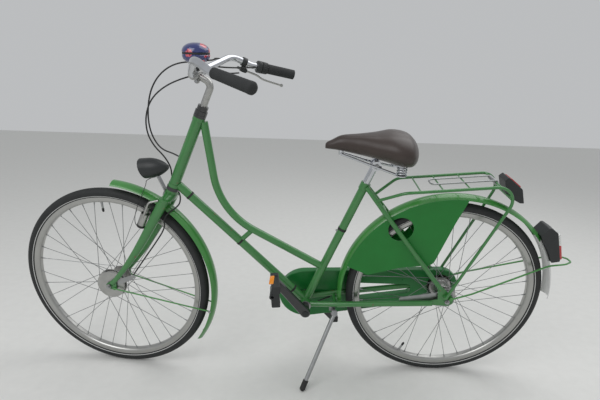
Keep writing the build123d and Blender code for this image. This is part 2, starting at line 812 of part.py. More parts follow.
shifter_end = right_bar_end - right_bar_run * (right_grip_length + 1)
with BuildPart() as gear_shifter:
    sleeve(shifter_end, right_bar_run, shifter_length, grip_radius + 4, 0)
keep(gear_shifter.part, "gear_shifter", "steering")

lever_run = (bar_points[-2] - bar_points[-3]).normalized()
lever_clamp = bar_points[-3] + lever_run * 47
lever_pivot = lever_clamp + Vector(-4, 4, -26)
lever_tip = bar_clamp + Vector(215, 272, -46)
blade_half_width = 5.5
blade_half_thickness = 4.5
with BuildPart() as brake_lever:
    bar(lever_clamp - lever_run * 8, lever_clamp + lever_run * 8, bar_radius + 4)
    bar(lever_clamp, lever_pivot, 7)
    bar(lever_pivot - lever_run * 12, lever_pivot + lever_run * 12, 8)
    with BuildLine() as blade_path:
        FilletPolyline(lever_pivot, lever_pivot + Vector(44, 30, -22), lever_tip, radius=60)
    with BuildSketch(Plane(origin=lever_pivot, z_dir=blade_path.line % 0)) as blade:
        Ellipse(blade_half_width, blade_half_thickness)
    sweep(blade.sketch, path=blade_path.line)
    with Locations(lever_tip):
        Sphere(blade_half_width + 1)
    bar(lever_clamp - lever_run * 20, lever_clamp + lever_run * 20, bar_radius + shaft_gap, Mode.SUBTRACT)
keep(brake_lever.part, "brake_lever", "steering")

# ---------------------------------------------------------------- bell

bell_centre = bar_clamp + Vector(8.4, -10, 60)
bell_radius = 42.0
bell_half_height = 31.0
with BuildPart() as bell:
    with BuildSketch(Plane(origin=bell_centre, x_dir=(1, 0, 0), z_dir=(0, -1, 0))):
        with BuildLine():
            shoulder = (bell_radius * 0.75, bell_half_height * 0.68)
            dome = ThreePointArc((3, bell_half_height), shoulder, (bell_radius, 0))
            bowl = ThreePointArc((3, -bell_half_height), (shoulder[0], -shoulder[1]), (bell_radius, 0))
            Polyline(dome @ 0, (0, bell_half_height), (0, -bell_half_height), bowl @ 0)
        make_face()
    revolve(axis=Axis(bell_centre, (0, 0, 1)), revolution_arc=360)
    bar(bell_centre, Vector(bell_centre.X, bell_centre.Y, bar_clamp.Z), 6)
    thumb = bell_centre + Vector(68, -10, -12)
    bar(bell_centre + Vector(20, -4, -20), thumb, 2)
    bar(thumb - Vector(0, 0, 1.5), thumb + Vector(0, 0, 1.5), 9)
    add(stem.part, mode=Mode.SUBTRACT)
    disc(bar_clamp, 17, -19, 19, Mode.SUBTRACT)
keep(bell.part, "bell", "steering")

# ---------------------------------------------------------------- lamp and dynamo

lamp_front = on_fork(453.9, 108.5)
lamp_back = Vector(cos(radians(7)), 0, sin(radians(7)))
lamp_length = 80.0
lamp_radius = 34.0
lamp_wall = 2.0
lamp_hood = 15.0
lamp_recess = 6.0
with BuildPart() as headlamp:
    with BuildSketch(Plane(origin=lamp_front, x_dir=lamp_back, z_dir=(0, -1, 0))):
        with BuildLine():
            front = Polyline(
                (lamp_length, 0),
                (lamp_recess, 0),
                (lamp_recess, lamp_radius - 6),
                (-lamp_hood, lamp_radius - lamp_wall),
                (-lamp_hood, lamp_radius),
                (12, lamp_radius),
            )
            shell = ThreePointArc(front @ 1, (54, lamp_radius * 0.72), (lamp_length, 7))
            Line(shell @ 1, front @ 0)
        make_face()
    revolve(axis=Axis(lamp_front, lamp_back), revolution_arc=360)
    with BuildSketch(Plane(origin=lamp_front, x_dir=lamp_back, z_dir=(0, -1, 0))):
        with BuildLine():
            Polyline(
                (-lamp_hood - 1, lamp_radius - 1),
                (0, -lamp_radius - 1),
                (-lamp_hood - 1, -lamp_radius - 1),
                close=True,
            )
        make_face()
    extrude(amount=lamp_radius + 1, both=True, mode=Mode.SUBTRACT)
keep(headlamp.part, "headlamp", "steering")

lamp_seat = lamp_front + lamp_back * 42 + Vector(0, 0, -24)
bracket_foot = [on_fork(*place) for place in ((415.5, 20.1), (398, 20.1), (398, 23.1), (413, 23.1))]
with BuildPart() as lamp_bracket:
    with BuildSketch(side_plane(9)):
        with BuildLine():
            outer = FilletPolyline(
                *[(point.X, point.Z) for point in bracket_foot],
                (lamp_seat.X - 1, lamp_seat.Z - 6),
                (lamp_seat.X - 1, lamp_seat.Z + 8),
                (lamp_seat.X + 3, lamp_seat.Z + 8),
                (lamp_seat.X + 3, lamp_seat.Z - 4),
                close=True,
                radius=[6, 0.5, 0.5, 3, 3, 0.5, 0.5, 6],
            )
        make_face()
    extrude(amount=18)
    add(headlamp.part, mode=Mode.SUBTRACT)
    add(fork.part, mode=Mode.SUBTRACT)
keep(lamp_bracket.part, "lamp_bracket", "steering")

dynamo_side = -42.0
dynamo_ahead = 45.0
with BuildPart() as dynamo:
    bar(on_fork(272, dynamo_ahead, dynamo_side), on_fork(324, dynamo_ahead, dynamo_side), 14)
    bar(on_fork(324, dynamo_ahead, dynamo_side), on_fork(334, dynamo_ahead, dynamo_side), 7)
    bar(on_fork(334, dynamo_ahead, dynamo_side), on_fork(350, dynamo_ahead, dynamo_side), 10)
    arm = [on_fork(300, 45, -53), on_fork(374, 42, -58), on_fork(394, 16, -52)]
    bent_bar(arm, [14], 3.5)
    add(fork.part, mode=Mode.SUBTRACT)
keep(dynamo.part, "dynamo", "steering")

# ---------------------------------------------------------------- front brake arm and fender stays

brake_arm_end = front_axle + Vector(93, 0, 44)
with BuildPart() as front_brake_arm:
    with BuildSketch(side_plane(-46.1)) as arm:
        with Locations((front_axle.X, front_axle.Z)):
            Circle(14)
        with Locations((brake_arm_end.X, brake_arm_end.Z)):
            Circle(6)
        make_hull()
        with Locations((front_axle.X, front_axle.Z)):
            Circle(8 + shaft_gap, mode=Mode.SUBTRACT)
    extrude(arm.sketch, amount=2.2)
    add(fork.part, mode=Mode.SUBTRACT)
keep(front_brake_arm.part, "front_brake_arm", "steering")

stay_wire = 2.5
with BuildPart() as front_fender_stays:
    stay_rear = around(front_axle, fender_radius - fender_drop, -12, fender_half_width + stay_wire - 0.2)
    stay_front = Vector(fork_eyelet.X, 54 + stay_wire, fork_eyelet.Z)
    bar(stay_front, stay_rear, stay_wire)
    disc(fork_eyelet, 5, 54, 58)
    mirror(about=Plane.XZ)
    add(front_fender.part, mode=Mode.SUBTRACT)
    add(fork.part, mode=Mode.SUBTRACT)
keep(front_fender_stays.part, "front_fender_stays", "steering")

# ---------------------------------------------------------------- rear fender hoop, tail lamp, rack

hoop_radius = 3.0
hoop_eye = rear_axle + Vector(10, 0, 12)
hoop_side = 72.0
rack_half_width = 72.0
hoop_run = [
    Vector(hoop_eye.X, hoop_side - 2, hoop_eye.Z),
    Vector(rear_axle.X + 79.4, hoop_side - 2, rear_axle.Z + 38),
    Vector(rear_axle.X + 340.4, fender_half_width + hoop_radius + 0.1, rear_axle.Z + 136),
    Vector(rear_axle.X + 397.4, fender_half_width + hoop_radius, rear_axle.Z + 145),
    Vector(rear_axle.X + 424.4, 12, rear_axle.Z + 144.5),
]
with BuildPart() as rear_fender_hoop:
    left_run = [Vector(point.X, -point.Y, point.Z) for point in hoop_run]
    bent_bar(left_run + hoop_run[::-1], [80, 120, 24, 14, 14, 24, 120, 80], hoop_radius)
    disc(hoop_eye, 6, dropout_outer, hoop_side + 1)
    disc(hoop_eye, 6, -hoop_side - 1, -dropout_outer)
keep(rear_fender_hoop.part, "rear_fender_hoop", "frame")

tail_lamp_half_width = 32.0
with BuildPart() as tail_lamp:
    with BuildSketch(axle_plane(tail_lamp_half_width)):
        with BuildLine():
            FilletPolyline(
                (287.4, 250),
                (311.4, 282),
                (341.4, 264),
                (373.4, 156),
                (345.4, 150),
                close=True,
                radius=[2, 8, 8, 4, 2],
            )
        make_face()
    extrude(amount=2 * tail_lamp_half_width)
    seat_on_fender(rear_axle, 10, 55)
    for side in (-1, 1):
        low, high = sorted((side * fender_half_width, side * (tail_lamp_half_width + 1)))
        disc(rear_axle, fender_radius - 6, low, high, Mode.SUBTRACT)
keep(tail_lamp.part, "tail_lamp", "frame")

rack_radius = 5.0
rack_wire = 2.5
rack_front = rear_axle + Vector(-194.6, rack_half_width, 404)
rack_corner = rear_axle + Vector(175.4, rack_half_width, 442)
rack_eye = rear_axle + Vector(-8, rack_half_width, 18)
rack_bend = 50.0
to_front = (rack_front - rack_corner).normalized()
to_eye = (rack_eye - rack_corner).normalized()
bend_offset = rack_bend / sin(radians(to_front.get_angle(to_eye) / 2))
bend_centre = rack_corner + (to_front + to_eye).normalized() * bend_offset
rack_cross_bar = around(bend_centre, rack_bend, 11)
rack_cross_wires = [rear_axle.X + behind for behind in (-144.6, -74.6, 8.4)]


def rack_top(along):
    """The middle of the rack's top at a distance along the bicycle."""
    share = (along - rack_front.X) / (rack_corner.X - rack_front.X)
    return Vector(along, 0, rack_front.Z + share * (rack_corner.Z - rack_front.Z))


clip_hinge = rack_top(rear_axle.X + 102.4)
clip_pin_radius = 3.0
with BuildPart() as rack:
    rack_run = [stay_top + (stay_knee - stay_top) * 0.5, rack_front, rack_corner, rack_eye]
    bent_bar(rack_run, [60, rack_bend], rack_radius)
    disc(rack_eye, 8, dropout_outer, rack_half_width)
    mirror(about=Plane.XZ)
    for along in rack_cross_wires:
        disc(rack_top(along), rack_wire, -rack_half_width, rack_half_width)
    disc(clip_hinge, clip_pin_radius, -rack_half_width, rack_half_width)
    disc(rack_cross_bar, 4, -rack_half_width, rack_half_width)
    add(seat_stays.part, mode=Mode.SUBTRACT)
keep(rack.part, "rack", "frame")

with BuildPart() as rack_reflector:
    cross = rack_cross_bar - rear_axle
    with BuildSketch(axle_plane(27)):
        with BuildLine():
            FilletPolyline(
                (cross.X - 15, 441),
                (cross.X - 3, 452),
                (192.4, 413),
                (206.4, 365),
                (193.4, 365),
                (cross.X, cross.Z - 4),
                close=True,
                radius=[2, 3, 12, 2, 2, 2],
            )
        make_face()
    extrude(amount=54)
    add(rack.part, mode=Mode.SUBTRACT)
    solids = rack_reflector.part.solids()
keep(max(solids, key=lambda solid: solid.volume), "rack_reflector", "frame")

clip_front = rear_axle.X - 102.6
clip_half_width = 24.0
clip_lift = Vector(0, 0, 2 * rack_wire + 0.6)
with BuildPart() as rack_clip:
    wire = [
        clip_hinge + clip_lift - Vector(0, clip_half_width, 0),
        rack_top(clip_front) + clip_lift - Vector(0, clip_half_width, 0),
        rack_top(clip_front) + clip_lift + Vector(0, clip_half_width, 0),
        clip_hinge + clip_lift + Vector(0, clip_half_width, 0),
    ]
    bent_bar(wire, [16, 16], rack_wire)
    disc(clip_hinge, clip_pin_radius + 4, -clip_half_width - 4, clip_half_width + 4)
    disc(clip_hinge, clip_pin_radius + running_gap, -80, 80, Mode.SUBTRACT)
keep(rack_clip.part, "rack_clip", "clip")

# ---------------------------------------------------------------- skirt guards and coaster brake arm

guard_thickness = 2.5
with BuildPart() as skirt_guards:
    with BuildSketch(side_plane(fender_half_width + guard_thickness)):
        with BuildLine():
            upper = around(rear_axle, fender_radius - 11, 85.6)
            lower = around(rear_axle, fender_radius - 11, 163.2)
            middle = around(rear_axle, fender_radius - 11, 124.4)
            lower_edge = FilletPolyline(
                (lower.X, lower.Z),
                (rear_axle.X - 279.6, rear_axle.Z + 76),
                (rear_axle.X - 164.6, rear_axle.Z + 111),
                (rear_axle.X - 58.6, rear_axle.Z + 123),
                (rear_axle.X - 2.6, rear_axle.Z + 290),
                (upper.X, upper.Z),
                radius=[10, 200, 30, 300],
            )
            ThreePointArc(lower_edge @ 1, (middle.X, middle.Z), lower_edge @ 0)
        make_face()
        with Locations((rear_axle.X - 182.6, rear_axle.Z + 257)):
            Circle(43, mode=Mode.SUBTRACT)
    extrude(amount=guard_thickness)
    mirror(about=Plane.XZ)
keep(skirt_guards.part, "skirt_guards", "frame")

coaster_end = rear_axle + Vector(-156, 0, -7)
with BuildPart() as coaster_arm:
    with BuildSketch(side_plane(-47.5)) as arm:
        with Locations((rear_axle.X, rear_axle.Z)):
            Circle(31)
        with Locations((coaster_end.X, coaster_end.Z)):
            Circle(8)
        make_hull()
        with Locations((rear_axle.X, rear_axle.Z)):
            Circle(26 + shaft_gap, mode=Mode.SUBTRACT)
    extrude(arm.sketch, amount=3)
    add(chain_stays.part, mode=Mode.SUBTRACT)
keep(coaster_arm.part, "coaster_arm", "frame")

# ---------------------------------------------------------------- saddle frame

rail_radius = 4.0
spring_radius = 17.0
spring_wire = 2.4
spring_pitch = 8.6
spring_low = -20.0
spring_high = 16.0
spring_plate = 3.0
spring_behind = 75.5
spring_side = 50.0


def coil_spring(side):
    """An upright coil between two round plates, one on the rail and one under the saddle."""
    foot = by_post(spring_behind, side, spring_low)
    head = by_post(spring_behind, side, spring_high)
    for plate in (foot, head - Vector(0, 0, spring_plate)):
        bar(plate, plate + Vector(0, 0, spring_plate), spring_radius)
    lift = spring_plate + spring_wire / 2
    coil_height = spring_high - spring_low - 2 * lift
    with BuildLine():
        coil = Helix(spring_pitch, coil_height, spring_radius - spring_wire, center=foot + Vector(0, 0, lift))
    with BuildSketch(Plane(origin=coil @ 0, z_dir=coil % 0)) as wire:
        Circle(spring_wire)
    sweep(wire.sketch, path=coil, is_frenet=True)


with BuildPart() as saddle_frame:
    rail = [by_post(-114.5, 12, 34), by_post(-34.5, 20, 8), by_post(spring_behind, spring_side, spring_low - 2)]
    bent_bar(rail, [60], rail_radius)
    disc(post_top, 16, 8, 24)
    mirror(about=Plane.XZ)
    for side in (-spring_side, spring_side):
        coil_spring(side)
    bar(by_post(-114.5, -14, 34), by_post(-114.5, 14, 34), rail_radius)
    bar(by_post(-114.5, 0, 30), by_post(-114.5, 0, 51), 8)
    disc(post_top, 11 + shaft_gap, -30, 30, Mode.SUBTRACT)
    bar(seat_tube_top, post_top + seat_up * 2, post_radius + shaft_gap, Mode.SUBTRACT)
    add(saddle.part, mode=Mode.SUBTRACT)
keep(saddle_frame.part, "saddle_frame", "frame")

# ---------------------------------------------------------------- cables


def route(points, radius, share=0.45):
    """A cable along hand-picked points, each bend as wide as its two runs allow."""
    radii = []
    for before, corner, after in zip(points, points[1:], points[2:]):
        half_turn = radians((corner - before).get_angle(after - corner)) / 2
        shorter = min((corner - before).length, (after - corner).length)
        radii.append(share * shorter / (sin(half_turn) / cos(half_turn)))
    bent_bar(points, radii, radius)
    print("bend radii", [round(value) for value in radii])


cable_radius = 2.5
with BuildPart() as brake_cable:
    route(
        [
            Vector(-278, 190, 1086),
            Vector(-312, 150, 1084),
            Vector(-360, 98, 1088),
            Vector(-418, 48, 1074),
            Vector(-478, 30, 1046),
            Vector(-523, 22, 1004),
            Vector(-542, 16, 950),
            Vector(-538, 10, 896),
            Vector(-520, 18, 852),
            Vector(-492, 26, 820),
            on_fork(486, 38, 27),
            on_fork(452, 26, 32),
            on_fork(424, 9, 38),
            on_fork(406, -20, 37),
            on_fork(390, -37, 13),
            on_fork(380, -38, -12),
            on_fork(356, -22, -30.5),
            on_fork(332, -18, -40),
            Vector(-474, -42, 590),
            Vector(-515, -43, 527),
            Vector(-553, -44, 474),
            Vector(-602, -46.5, 402),
        ],
        cable_radius,
    )
keep(brake_cable.part, "brake_cable", "steering")

cable_split = on_fork(480, -9.2, 25.6)
with BuildPart() as gear_cable_loop:
    route(
        [
            Vector(-218.5, 204.2, 1106),
            Vector(-262, 176, 1103),
            Vector(-342, 122, 1106),
            Vector(-390, 72, 1124),
            Vector(-446, 46, 1116),
            Vector(-494, 40, 1084),
            Vector(-527, 39, 1036),
            Vector(-542, 39, 980),
            Vector(-545, 39, 925),
            Vector(-534, 40, 876),
            Vector(-506, 40, 838),
            on_fork(531, 48, 36),
            on_fork(531, 14, 30),
            cable_split + steer_up * 28,
            cable_split + steer_up * 0.4,
        ],
        cable_radius,
    )
keep(gear_cable_loop.part, "gear_cable_loop", "steering")

tube_under = Vector(tube_run.Z, 0, -tube_run.X)
under_offset = sqrt((down_tube_radius + cable_radius + 0.2) ** 2 - 8**2)


def under_tube(along):
    """The cable's place under the down tube."""
    return down_tube_start + tube_run * along + tube_under * under_offset + Vector(0, 8, 0)


with BuildPart() as gear_cable:
    route(
        [
            cable_split,
            on_fork(450, -9.4, 26),
            on_fork(433, -30, 18),
            under_tube(66),
            under_tube(565),
            Vector(-36, 10, 282),
            Vector(-8, 12, 264),
            Vector(28, 16, 266),
            Vector(60, 24, 280),
            Vector(92, 37, 284),
        ],
        cable_radius,
    )
keep(gear_cable.part, "gear_cable", "frame")

# ---------------------------------------------------------------- parking pose, origin and files

poses = {body: parked for body in bodies}
for body in ("steering", "front_wheel"):
    poses[body] = parked * steered

placed = [(part.label, part.moved(poses[body])) for body, parts in bodies.items() for part in parts]
box = Compound([part for _, part in placed]).bounding_box()
home = Pos(-box.center().X, -box.center().Y, 0)
for name, part in placed:
    piece = part.moved(home)
    piece.label = name
    export_step(piece, f"parts/{name}.step")

joints = {
    "steering": ("steering", steer_foot + steer_up * head_tube_low, steer_up),
    "front_wheel": ("front_wheel", front_axle, Vector(0, 1, 0)),
    "rear_wheel": ("rear_wheel", rear_axle, Vector(0, 1, 0)),
    "crank_set": ("crank_set", bottom_bracket, Vector(0, 1, 0)),
    "pedal_left": ("pedal_left", left_pedal_axis, Vector(0, 1, 0)),
    "pedal_right": ("pedal_right", right_pedal_axis, Vector(0, 1, 0)),
    "stand": ("stand", stand_pivot, stand_axis),
    "rack_clip": ("clip", clip_hinge, Vector(0, 1, 0)),
}
for name, (body, point, direction) in joints.items():
    start = (home * poses[body] * Pos(*point)).position
    end = (home * poses[body] * Pos(*(point + direction))).position
    print("joint", name, *[round(value, 4) for value in (*start, *(end - start))])
for body, parts in bodies.items():
    print("body", body, *[part.label for part in parts])
print("lowest", box.min, "size", box.size, "leg", round(leg_length, 1), "pitch", round(pitch, 4))
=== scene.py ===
"""Looks of a step-through city bicycle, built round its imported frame.

Small pieces are laid out in the bicycle's own frame in millimetres (X to the rear, Y to the
rider's right, Z up, the bottom bracket above the origin), and two matrices carry them to the
place where the bicycle leans on its stand with its front wheel turned a little.
"""

import json
from math import atan2, cos, hypot, pi, radians, sin, sqrt

import bpy
from mathutils import Matrix, Vector


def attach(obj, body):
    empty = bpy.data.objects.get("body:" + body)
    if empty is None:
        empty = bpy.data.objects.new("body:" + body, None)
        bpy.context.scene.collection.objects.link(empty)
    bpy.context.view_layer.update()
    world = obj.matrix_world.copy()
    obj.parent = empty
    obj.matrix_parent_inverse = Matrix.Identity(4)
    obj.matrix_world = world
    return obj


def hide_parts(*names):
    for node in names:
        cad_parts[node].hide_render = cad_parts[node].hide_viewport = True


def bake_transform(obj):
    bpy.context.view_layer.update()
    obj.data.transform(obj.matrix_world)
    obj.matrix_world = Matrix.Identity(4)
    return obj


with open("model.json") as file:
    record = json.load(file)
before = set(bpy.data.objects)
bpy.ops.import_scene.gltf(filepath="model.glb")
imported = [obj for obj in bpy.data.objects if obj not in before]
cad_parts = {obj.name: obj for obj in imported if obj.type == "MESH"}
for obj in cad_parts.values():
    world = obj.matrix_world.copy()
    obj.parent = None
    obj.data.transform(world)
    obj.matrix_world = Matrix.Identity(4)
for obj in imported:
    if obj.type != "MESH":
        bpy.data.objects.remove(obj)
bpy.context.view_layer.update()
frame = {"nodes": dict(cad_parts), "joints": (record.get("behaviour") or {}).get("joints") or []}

# ---------------------------------------------------------------- sizes of the bicycle, mm

MM = 0.001
WHEEL_RADIUS = 350.0
TYRE_WIDTH = 37.0
RIM_OUTER = 319.5
RIM_INNER = 299.5
SPOKES = 36
WHEELBASE = 1190.0
CHAINSTAY = 498.0
BRACKET_DROP = 58.0
HEAD_ANGLE = radians(67.0)
FORK_OFFSET = 76.0
SEAT_ANGLE = radians(68.4)
FENDER_RADIUS = 382.0
CABLE_RADIUS = 2.5
TUBE_RADIUS = 14.3

REAR_AXLE = Vector((sqrt(CHAINSTAY**2 - BRACKET_DROP**2), 0, WHEEL_RADIUS))
FRONT_AXLE = REAR_AXLE - Vector((WHEELBASE, 0, 0))
BRACKET = Vector((0, 0, WHEEL_RADIUS - BRACKET_DROP))
STEER_UP = Vector((cos(HEAD_ANGLE), 0, sin(HEAD_ANGLE)))
STEER_FRONT = Vector((-sin(HEAD_ANGLE), 0, cos(HEAD_ANGLE)))
STEER_FOOT = FRONT_AXLE - STEER_FRONT * FORK_OFFSET
SEAT_UP = Vector((cos(SEAT_ANGLE), 0, sin(SEAT_ANGLE)))
ACROSS = Vector((0, 1, 0))


def on_fork(along, ahead=0.0, side=0.0):
    """A point by its distance up the steering axis, ahead of it and to the right."""
    return STEER_FOOT + STEER_UP * along + STEER_FRONT * ahead + ACROSS * side


def around(axle, radius, angle, side=0.0):
    """A point at a radius and an angle above the rear horizontal, round an axle."""
    turn = radians(angle)
    return axle + Vector((radius * cos(turn), side, radius * sin(turn)))


# ---------------------------------------------------------------- where the bicycle stands

JOINTS = {j["name"]: j for j in frame["joints"]}


def joint_line(name):
    """A joint's point and direction in the row frame."""
    found = JOINTS[name]
    return Vector(found["pos_m"]), Vector(found["axis"]).normalized()


def place_from(rear_dir, side_dir, own_point, row_point):
    """The matrix from the bicycle's own millimetres to the row frame."""
    up_dir = rear_dir.cross(side_dir)
    turn = Matrix((rear_dir, side_dir, up_dir)).transposed()
    move = row_point - turn @ (own_point * MM)
    return Matrix.Translation(move) @ (turn @ Matrix.Scale(MM, 3)).to_4x4()


def frame_place():
    """Where the frame's own coordinates lie."""
    rear, side = joint_line("rear_wheel_spin")
    bracket, _ = joint_line("crank_turn")
    run = (rear - bracket).normalized()
    lift = atan2(BRACKET_DROP, REAR_AXLE.x)
    rear_dir = run * cos(lift) - run.cross(side) * sin(lift)
    return place_from(rear_dir, side, REAR_AXLE, rear)


def steering_place():
    """Where the coordinates of the fork and what turns with it lie."""
    axle, side = joint_line("front_wheel_spin")
    _, up = joint_line("steering")
    back = side.cross(up)
    rear_dir = up * cos(HEAD_ANGLE) + back * sin(HEAD_ANGLE)
    return place_from(rear_dir, side, FRONT_AXLE, axle)


ON_FRAME = frame_place()
ON_STEERING = steering_place()

# ---------------------------------------------------------------- camera, floor and light

REAR_ROW, _ = joint_line("rear_wheel_spin")
CAMERA_FROM_REAR_AXLE = Vector((-0.5135, -1.5067, 0.6831))
CAMERA_FORWARD = Vector((-0.008, 0.973, -0.232))
CAMERA_UP = Vector((-0.032, 0.232, 0.972))
LENS_MM = 26.7
SENSOR_MM = 36.0


def make_camera():
    """The camera, at the distance, height and angle that show the bicycle from its left."""
    data = bpy.data.cameras.new("camera")
    data.lens = LENS_MM
    data.sensor_width = SENSOR_MM
    camera = bpy.data.objects.new("camera", data)
    bpy.context.scene.collection.objects.link(camera)
    forward = CAMERA_FORWARD.normalized()
    right = forward.cross(CAMERA_UP).normalized()
    up = right.cross(forward)
    turn = Matrix((right, up, -forward)).transposed().to_4x4()
    camera.matrix_world = Matrix.Translation(REAR_ROW + CAMERA_FROM_REAR_AXLE) @ turn
    bpy.context.scene.camera = camera


make_camera()


def srgb(code, alpha=1.0):
    """A hex colour as linear red, green, blue and alpha."""
    values = [int(code[k : k + 2], 16) / 255 for k in (1, 3, 5)]
    linear = [v / 12.92 if v <= 0.04045 else ((v + 0.055) / 1.055) ** 2.4 for v in values]
    return (*linear, alpha)


def add_node(tree, kind, settings=None, inputs=None):
    """One shader node, with its settings and what feeds its sockets."""
    made = tree.nodes.new("ShaderNode" + kind)
    for key, value in (settings or {}).items():
        setattr(made, key, value)
    for key, value in (inputs or {}).items():
        if isinstance(value, bpy.types.NodeSocket):
            tree.links.new(value, made.inputs[key])
        else:
            made.inputs[key].default_value = value
    return made


def new_finish(name, **sockets):
    """A material with one Principled shader; returns the material, its tree and its shader."""
    made = bpy.data.materials.new(name)
    made.use_nodes = True
    tree = made.node_tree
    shader = tree.nodes["Principled BSDF"]
    for key, value in sockets.items():
        shader.inputs[key.replace("_", " ")].default_value = value
    return made, tree, shader


def grain(tree, size_mm, detail=2.0, kind="NoiseTexture"):
    """A pattern's value at a real size, measured on the object in metres."""
    place = add_node(tree, "TexCoord").outputs["Object"]
    made = add_node(tree, "Tex" + kind.replace("Texture", ""), inputs={"Vector": place})
    made.inputs["Scale"].default_value = 1.0 / (size_mm * MM)
    if "Detail" in made.inputs:
        made.inputs["Detail"].default_value = detail
    return made


def blend_colours(tree, factor, first, second):
    """The colour between two, each a hex value or another node's output."""
    sides = [srgb(side) if isinstance(side, str) else side for side in (first, second)]
    mixed = add_node(
        tree, "Mix", {"data_type": "RGBA"}, {0: factor, 6: sides[0], 7: sides[1]}
    )
    return mixed.outputs[2]


def step_between(tree, value, low, high):
    """0 at one value and 1 at the other, held beyond them."""
    step = add_node(tree, "MapRange", None, {"Value": value, "From Min": low, "From Max": high})
    return step.outputs["Result"]


def paint(tree, shader, colour):
    """Gives the shader a colour from a node."""
    tree.links.new(colour, shader.inputs["Base Color"])


def tint(tree, shader, dark, light, factor):
    """Colour that goes between two hex values with a factor."""
    paint(tree, shader, blend_colours(tree, factor, dark, light))


def relief(tree, shader, height, depth_mm, strength=1.0):
    """A bump whose height is given in millimetres."""
    bump = add_node(
        tree, "Bump", None, {"Strength": strength, "Distance": depth_mm * MM, "Height": height}
    )
    tree.links.new(bump.outputs["Normal"], shader.inputs["Normal"])
    return bump


def rough_between(tree, shader, low, high, factor):
    """Roughness that goes between two values with a factor."""
    spread = add_node(tree, "MapRange", None, {"Value": factor, "To Min": low, "To Max": high})
    tree.links.new(spread.outputs["Result"], shader.inputs["Roughness"])


def sprayed_enamel(name):
    """Stoved enamel before its colour: a wet gloss coat, duller where dust lies in patches."""
    made, tree, shader = new_finish(
        name, Metallic=0.0, Coat_Weight=0.7, Coat_Roughness=0.08, IOR=1.5
    )
    dust = grain(tree, 60.0, 4.0).outputs["Fac"]
    rough_between(tree, shader, 0.26, 0.42, dust)
    # orange peel is about 1 mm wide on the real paint, and drawn three times as coarse to show
    relief(tree, shader, grain(tree, 3.0).outputs["Fac"], 0.03, 0.5)
    return made, tree, shader, dust


def enamel(name, dark, light):
    """Stoved enamel in one colour, a little paler where dust lies."""
    made, tree, shader, dust = sprayed_enamel(name)
    tint(tree, shader, dark, light, dust)
    return made


def worn_enamel(name, dark, light, chip):
    """The same enamel where it has been knocked: small chips show primer and rust."""
    made, tree, shader, dust = sprayed_enamel(name)
    spots = grain(tree, 14.0, 3.0).outputs["Fac"]
    chips = step_between(tree, spots, 0.715, 0.73)
    paint(tree, shader, blend_colours(tree, chips, blend_colours(tree, dust, dark, light), chip))
    return made


def plated(name, dark, light, low, high, blotch_mm=25.0):
    """Bare or plated metal: one reflecting colour, dulled unevenly by handling."""
    made, tree, shader = new_finish(name, Metallic=1.0)
    blotch = grain(tree, blotch_mm, 5.0).outputs["Fac"]
    tint(tree, shader, dark, light, blotch)
    rough_between(tree, shader, low, high, blotch)
    return made


def moulded(name, dark, light, low, high, grain_mm=0.9, depth_mm=0.03):
    """Injection-moulded plastic: even colour, a fine spark-eroded grain and a soft sheen."""
    # the mould's real grain is 0.1 to 0.3 mm wide, and drawn coarser so that it shows
    made, tree, shader = new_finish(name, Metallic=0.0, IOR=1.49)
    tint(tree, shader, dark, light, grain(tree, 40.0, 3.0).outputs["Fac"])
    rough_between(tree, shader, low, high, grain(tree, 18.0).outputs["Fac"])
    relief(tree, shader, grain(tree, grain_mm).outputs["Fac"], depth_mm, 0.6)
    return made


def lens(name, dark, light, cell_mm):
    """Moulded acrylic with prisms behind it: wet gloss over cells that catch the light."""
    made, tree, shader = new_finish(
        name, Metallic=0.0, Roughness=0.12, IOR=1.49, Coat_Weight=1.0, Coat_Roughness=0.04
    )
    cells = grain(tree, cell_mm, kind="VoronoiTexture")
    tint(tree, shader, dark, light, cells.outputs["Distance"])
    relief(tree, shader, cells.outputs["Distance"], 0.4, 0.6)
    return made


def stitched_vinyl():
    """Saddle cover, vinyl pressed with a leather grain: satin brown, shinier where it is sat on."""
    made, tree, shader = new_finish(
        "brown_vinyl_grained", Metallic=0.0, IOR=1.5, Sheen_Weight=0.15, Sheen_Roughness=0.4
    )
    # the pressed grain is about 1 mm wide, and drawn twice as coarse
    cells = grain(tree, 2.2, kind="VoronoiTexture").outputs["Distance"]
    tint(tree, shader, "#2E2522", "#40342F", grain(tree, 45.0, 4.0).outputs["Fac"])
    rough_between(tree, shader, 0.34, 0.52, grain(tree, 30.0, 3.0).outputs["Fac"])
    relief(tree, shader, cells, 0.12, 0.5)
    return made


def bell_print():
    """Printed steel shell: navy enamel with loose red and pink blossoms and pale specks."""
    made, tree, shader = new_finish(
        "enamelled_bell_print", Metallic=0.0, Roughness=0.2, IOR=1.5, Coat_Weight=0.8
    )
    ragged = 8.0 * MM
    blossom_spacing = 34.0 * MM
    place = add_node(tree, "TexCoord").outputs["Object"]
    shifted = add_node(
        tree,
        "VectorMath",
        {"operation": "MULTIPLY_ADD"},
        {0: grain(tree, 9.0, 1.0).outputs["Color"], 1: (ragged, ragged, ragged), 2: place},
    )
    blossom = add_node(
        tree,
        "TexVoronoi",
        None,
        {"Vector": shifted.outputs["Vector"], "Scale": 1 / blossom_spacing},
    )
    petals = step_between(tree, blossom.outputs["Distance"], 0.40, 0.36)
    hearts = step_between(tree, grain(tree, 5.0, 1.0).outputs["Fac"], 0.47, 0.53)
    dots = grain(tree, 11.0, kind="VoronoiTexture").outputs["Distance"]
    specks = step_between(tree, dots, 0.13, 0.10)
    ground = blend_colours(tree, specks, "#25306A", "#9FB0CC")
    flower = blend_colours(tree, hearts, "#B4283C", "#D9707A")
    paint(tree, shader, blend_colours(tree, petals, ground, flower))
    return made


